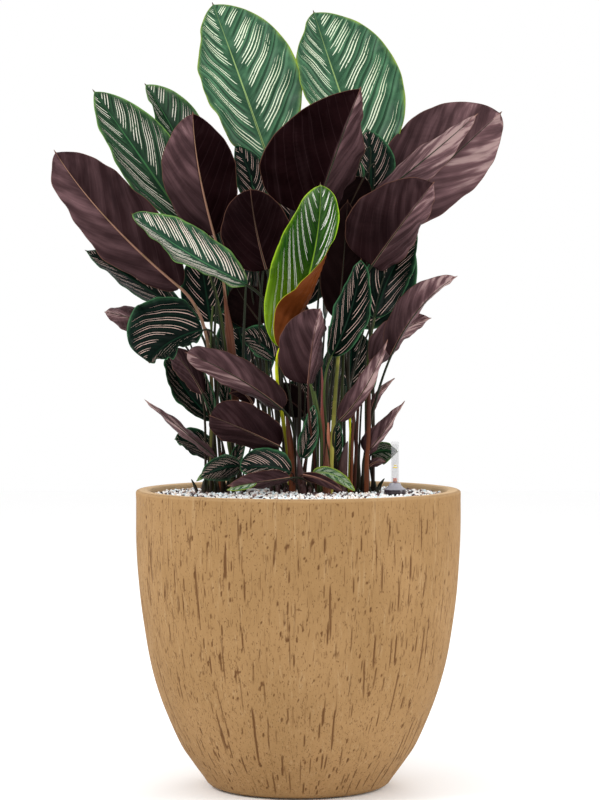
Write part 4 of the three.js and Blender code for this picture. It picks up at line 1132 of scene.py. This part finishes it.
def stem(name, skin, foot, above, radii):
    """A stalk or a sheath from its foot, which is given across and in depth, through points above it across,
    up and in depth, with its radius at the foot and at each point."""
    count, sides = 40, 12
    path = [seen(*map(float, point)) for point in ((foot[0], STEM_FOOT, foot[1]), *above)]
    radius = catmull(np.stack([radii, radii], 1), count)[:, 0]
    points, faces = tube(catmull(path, count), np.maximum(radius, 0.25), (-1, 0, 0), sides)
    marks = tube_marks(np.linspace(0, 1, count), sides, foot[0])
    piece(name, points, faces, [SKIN[skin]], slot="leaf_sheath",
          attributes={"leaf": marks, "reach": np.zeros_like(points)})


STALK_RADII = (3.0, 2.4, 2.1, 1.8)
LEFT_RADII = (3.0, 2.3, 2.0, 1.6)
stem("stem_olive_thin", "petiole_olive", (30, -28), [(29.7, 473, -28), (27.5, 552, -26), (17, 610, -24)],
     (2.2, 1.7, 2.3, 2.4))
stem("stem_olive", "petiole_olive", (35, -31), [(35, 473, -31), (34, 531, -30), (24, 592, -28)],
     (3.2, 2.9, 2.7, 2.2))
stem("stem_dark_middle", "petiole_dark", (41, -12), [(42, 520, -12), (43, 600, -10), (47, 690, -4)],
     (3, 2.6, 2.4, 2))
stem("stem_yellow", "petiole_yellow", (49, -34),
     [(50, 480, -36), (52, 531, -36), (56, 594, -32), (62, 668, -26)], (3.4, 3.0, 3.1, 2.9, 2.4))
stem("sheath_salmon", "sheath_salmon", (51, -30), [(50, 489, -32), (46, 520, -33), (45, 545, -32)],
     (1.8, 2.2, 3.2, 1.2))
stem("sheath_wedge", "rolled_leaf_brown", (43, -36), [(43, 470, -37), (43, 490, -37), (42, 514, -36)],
     (6.4, 5.6, 3.2, 0.4))
stem("stem_lime", "petiole_young", (76, -20), [(77, 505, -22), (78, 535, -22), (77, 566, -22)],
     (2.1, 1.7, 1.6, 1.5))
stem("stem_brown_0", "petiole_rust", (79, -24), [(80, 480, -25), (82, 538, -24), (86, 600, -18)],
     (2.6, 2.3, 2.2, 1.8))
stem("stem_brown_1", "petiole_red", (84, -8), [(87, 510, -10), (92, 620, -8)], (2.8, 2.4, 2.0))
stem("stem_brown_2", "petiole_dark", (73, -8), [(69, 520, -14), (70, 600, -12)], (3.0, 2.4, 2.0))
stem("stem_rust", "petiole_rust", (102.5, -18),
     [(103, 489, -24), (105.5, 520, -28), (106, 594, -30), (108, 640, -26)], (3.8, 3.4, 3.2, 3.0, 2.0))
stem("shoot_right", "rolled_leaf_sheath", (64, -26), [(66, 470, -27), (70, 500, -28), (74, 517, -28)],
     (8.0, 7.8, 4.6, 0.8))
stem("sheath_young", "petiole_rust", (-9, -20), [(-11, 500, -22), (-14, 530, -22), (-18, 560, -20)],
     (5.0, 4.8, 4.2, 1.2))
stem("stem_left_0", "petiole_dark", (-113, 2), [(-122, 560, 6), (-126, 660, 12), (-122, 730, 18)], LEFT_RADII)
stem("stem_left_1", "petiole_olive", (-120, 8), [(-128, 560, 10), (-131, 660, 14), (-128, 720, 20)],
     LEFT_RADII)
stem("stem_left_2", "petiole_olive", (-100, -14), [(-101, 489, -18), (-105, 516, -20), (-108, 560, -14)],
     (2.6, 2.5, 2.4, 1.4))
stem("stem_left_3", "petiole_dark", (-92, 4), [(-84, 560, 10), (-82, 669, 16), (-78, 760, 22)], LEFT_RADII)
stem("stem_left_4", "petiole_rust", (-117, -12), [(-117, 462, -14), (-116, 500, -12)], (4.4, 3.4, 1.6))
stem("stem_back_0", "petiole_dark", (-40, 24), [(-55, 600, 34), (-58, 700, 42), (-50, 800, 52)], STALK_RADII)
stem("stem_back_1", "petiole_olive", (-34, 28), [(-46, 600, 38), (-49, 700, 46), (-40, 812, 58)], STALK_RADII)
stem("stem_back_2", "petiole_dark", (0, 30), [(2, 600, 40), (-2, 740, 50), (6, 860, 60)], STALK_RADII)
stem("stem_back_3", "petiole_olive", (60, 24), [(66, 600, 34), (72, 740, 46), (84, 850, 60)], STALK_RADII)
stem("stem_back_4", "petiole_dark", (112, 30), [(112, 600, 34), (106, 700, 40), (100, 800, 50)], STALK_RADII)


def stumps():
    """Dry bases of old leaves, in a ring round each crown."""
    rng = np.random.default_rng(23)
    sides = 9
    along = np.linspace(0, 1, 9)
    for number, (x, y, half_width, half_depth) in enumerate(CROWNS):
        count = int((half_width + half_depth) / 3)
        points, faces, marks = [], [], []
        for k in range(count):
            a = TURN * (k + rng.uniform(-0.3, 0.3)) / count
            inward = rng.uniform(0.72, 1.0)
            foot = np.array([x + inward * half_width * math.cos(a), y + inward * half_depth * math.sin(a),
                             STUMP_FOOT])
            height, lean, way = rng.uniform(7, 30), rng.uniform(-0.1, 0.6), a + rng.normal(0, 0.8)
            top = foot + (lean * height * math.cos(way), lean * height * math.sin(way), height)
            bow = (foot + top) / 2 + (rng.normal(0, 1.2), rng.normal(0, 1.2), 2)
            radii = np.interp(along, [0, 0.5, 1], [rng.uniform(3, 5.5), rng.uniform(2, 3.5), 0.5])
            stump_points, stump_faces = tube(catmull([foot, bow, top], len(along)), radii, (-1, 0, 0), sides)
            faces += [[k * len(stump_points) + corner for corner in face] for face in stump_faces]
            points.append(stump_points)
            marks.append(tube_marks(along, sides, rng.uniform(0, 9)))
        points = np.concatenate(points)
        # The darkest stalk skins: partly the bases' own dry brown, partly painted shade low in the crowns.
        skin = SKIN["rolled_leaf_sheath" if number % 2 else "petiole_dark"]
        piece(f"old_leaf_bases_{number}", points, faces, [skin], slot="crown_wood",
              attributes={"leaf": np.concatenate(marks), "reach": np.zeros_like(points)})


stumps()


# ---------- floor, light and camera ----------
def look(place, aim):
    """The rotation of a lamp or a camera at place that looks at aim."""
    return (Vector(aim) - Vector(place)).to_track_quat("-Z", "Y").to_euler()


def floor():
    """White paper, half a millimetre under the planter so that the two don't coincide."""
    bpy.ops.mesh.primitive_plane_add(size=14, location=(0, 0, -0.0005))
    plane = bpy.context.object
    plane.name = "floor"
    paper = Shader("floor_paper", Base_Color=(0.97, 0.97, 0.97), Roughness=0.9, Specular_IOR_Level=0.1)
    plane.data.materials.append(paper.material)


def lights():
    """A white room with three soft lamps, whose places and sizes are in metres and powers in watts."""
    world = bpy.data.worlds.new("studio")
    bpy.context.scene.world = world
    world.use_nodes = True
    background = world.node_tree.nodes["Background"]
    background.inputs["Color"].default_value = (1, 1, 1, 1)
    background.inputs["Strength"].default_value = 1.0
    for name, place, size, power in [("key", (-2.6, -1.5, 2.7), 1.4, 62), ("fill", (2.9, -1.1, 1.6), 1.8, 42),
                                     ("back", (0.6, 2.8, 2.6), 1.6, 20)]:
        light = bpy.data.lights.new(name, "AREA")
        light.shape, light.size, light.energy = "DISK", size, power
        lamp = bpy.data.objects.new(name, light)
        lamp.location = place
        lamp.rotation_euler = look(place, (0, 0, 0.62))
        bpy.context.scene.collection.objects.link(lamp)


def camera():
    data = bpy.data.cameras.new("camera")
    data.lens, data.sensor_width = 117, 36
    made = bpy.data.objects.new("camera", data)
    made.location = (0, -EYE_DISTANCE * MM, EYE_HEIGHT * MM)
    made.rotation_euler = look(made.location, Vector(AIM) * MM)
    bpy.context.scene.collection.objects.link(made)
    bpy.context.scene.camera = made


floor()
lights()
camera()
bpy.context.scene.view_settings.view_transform = "Standard"
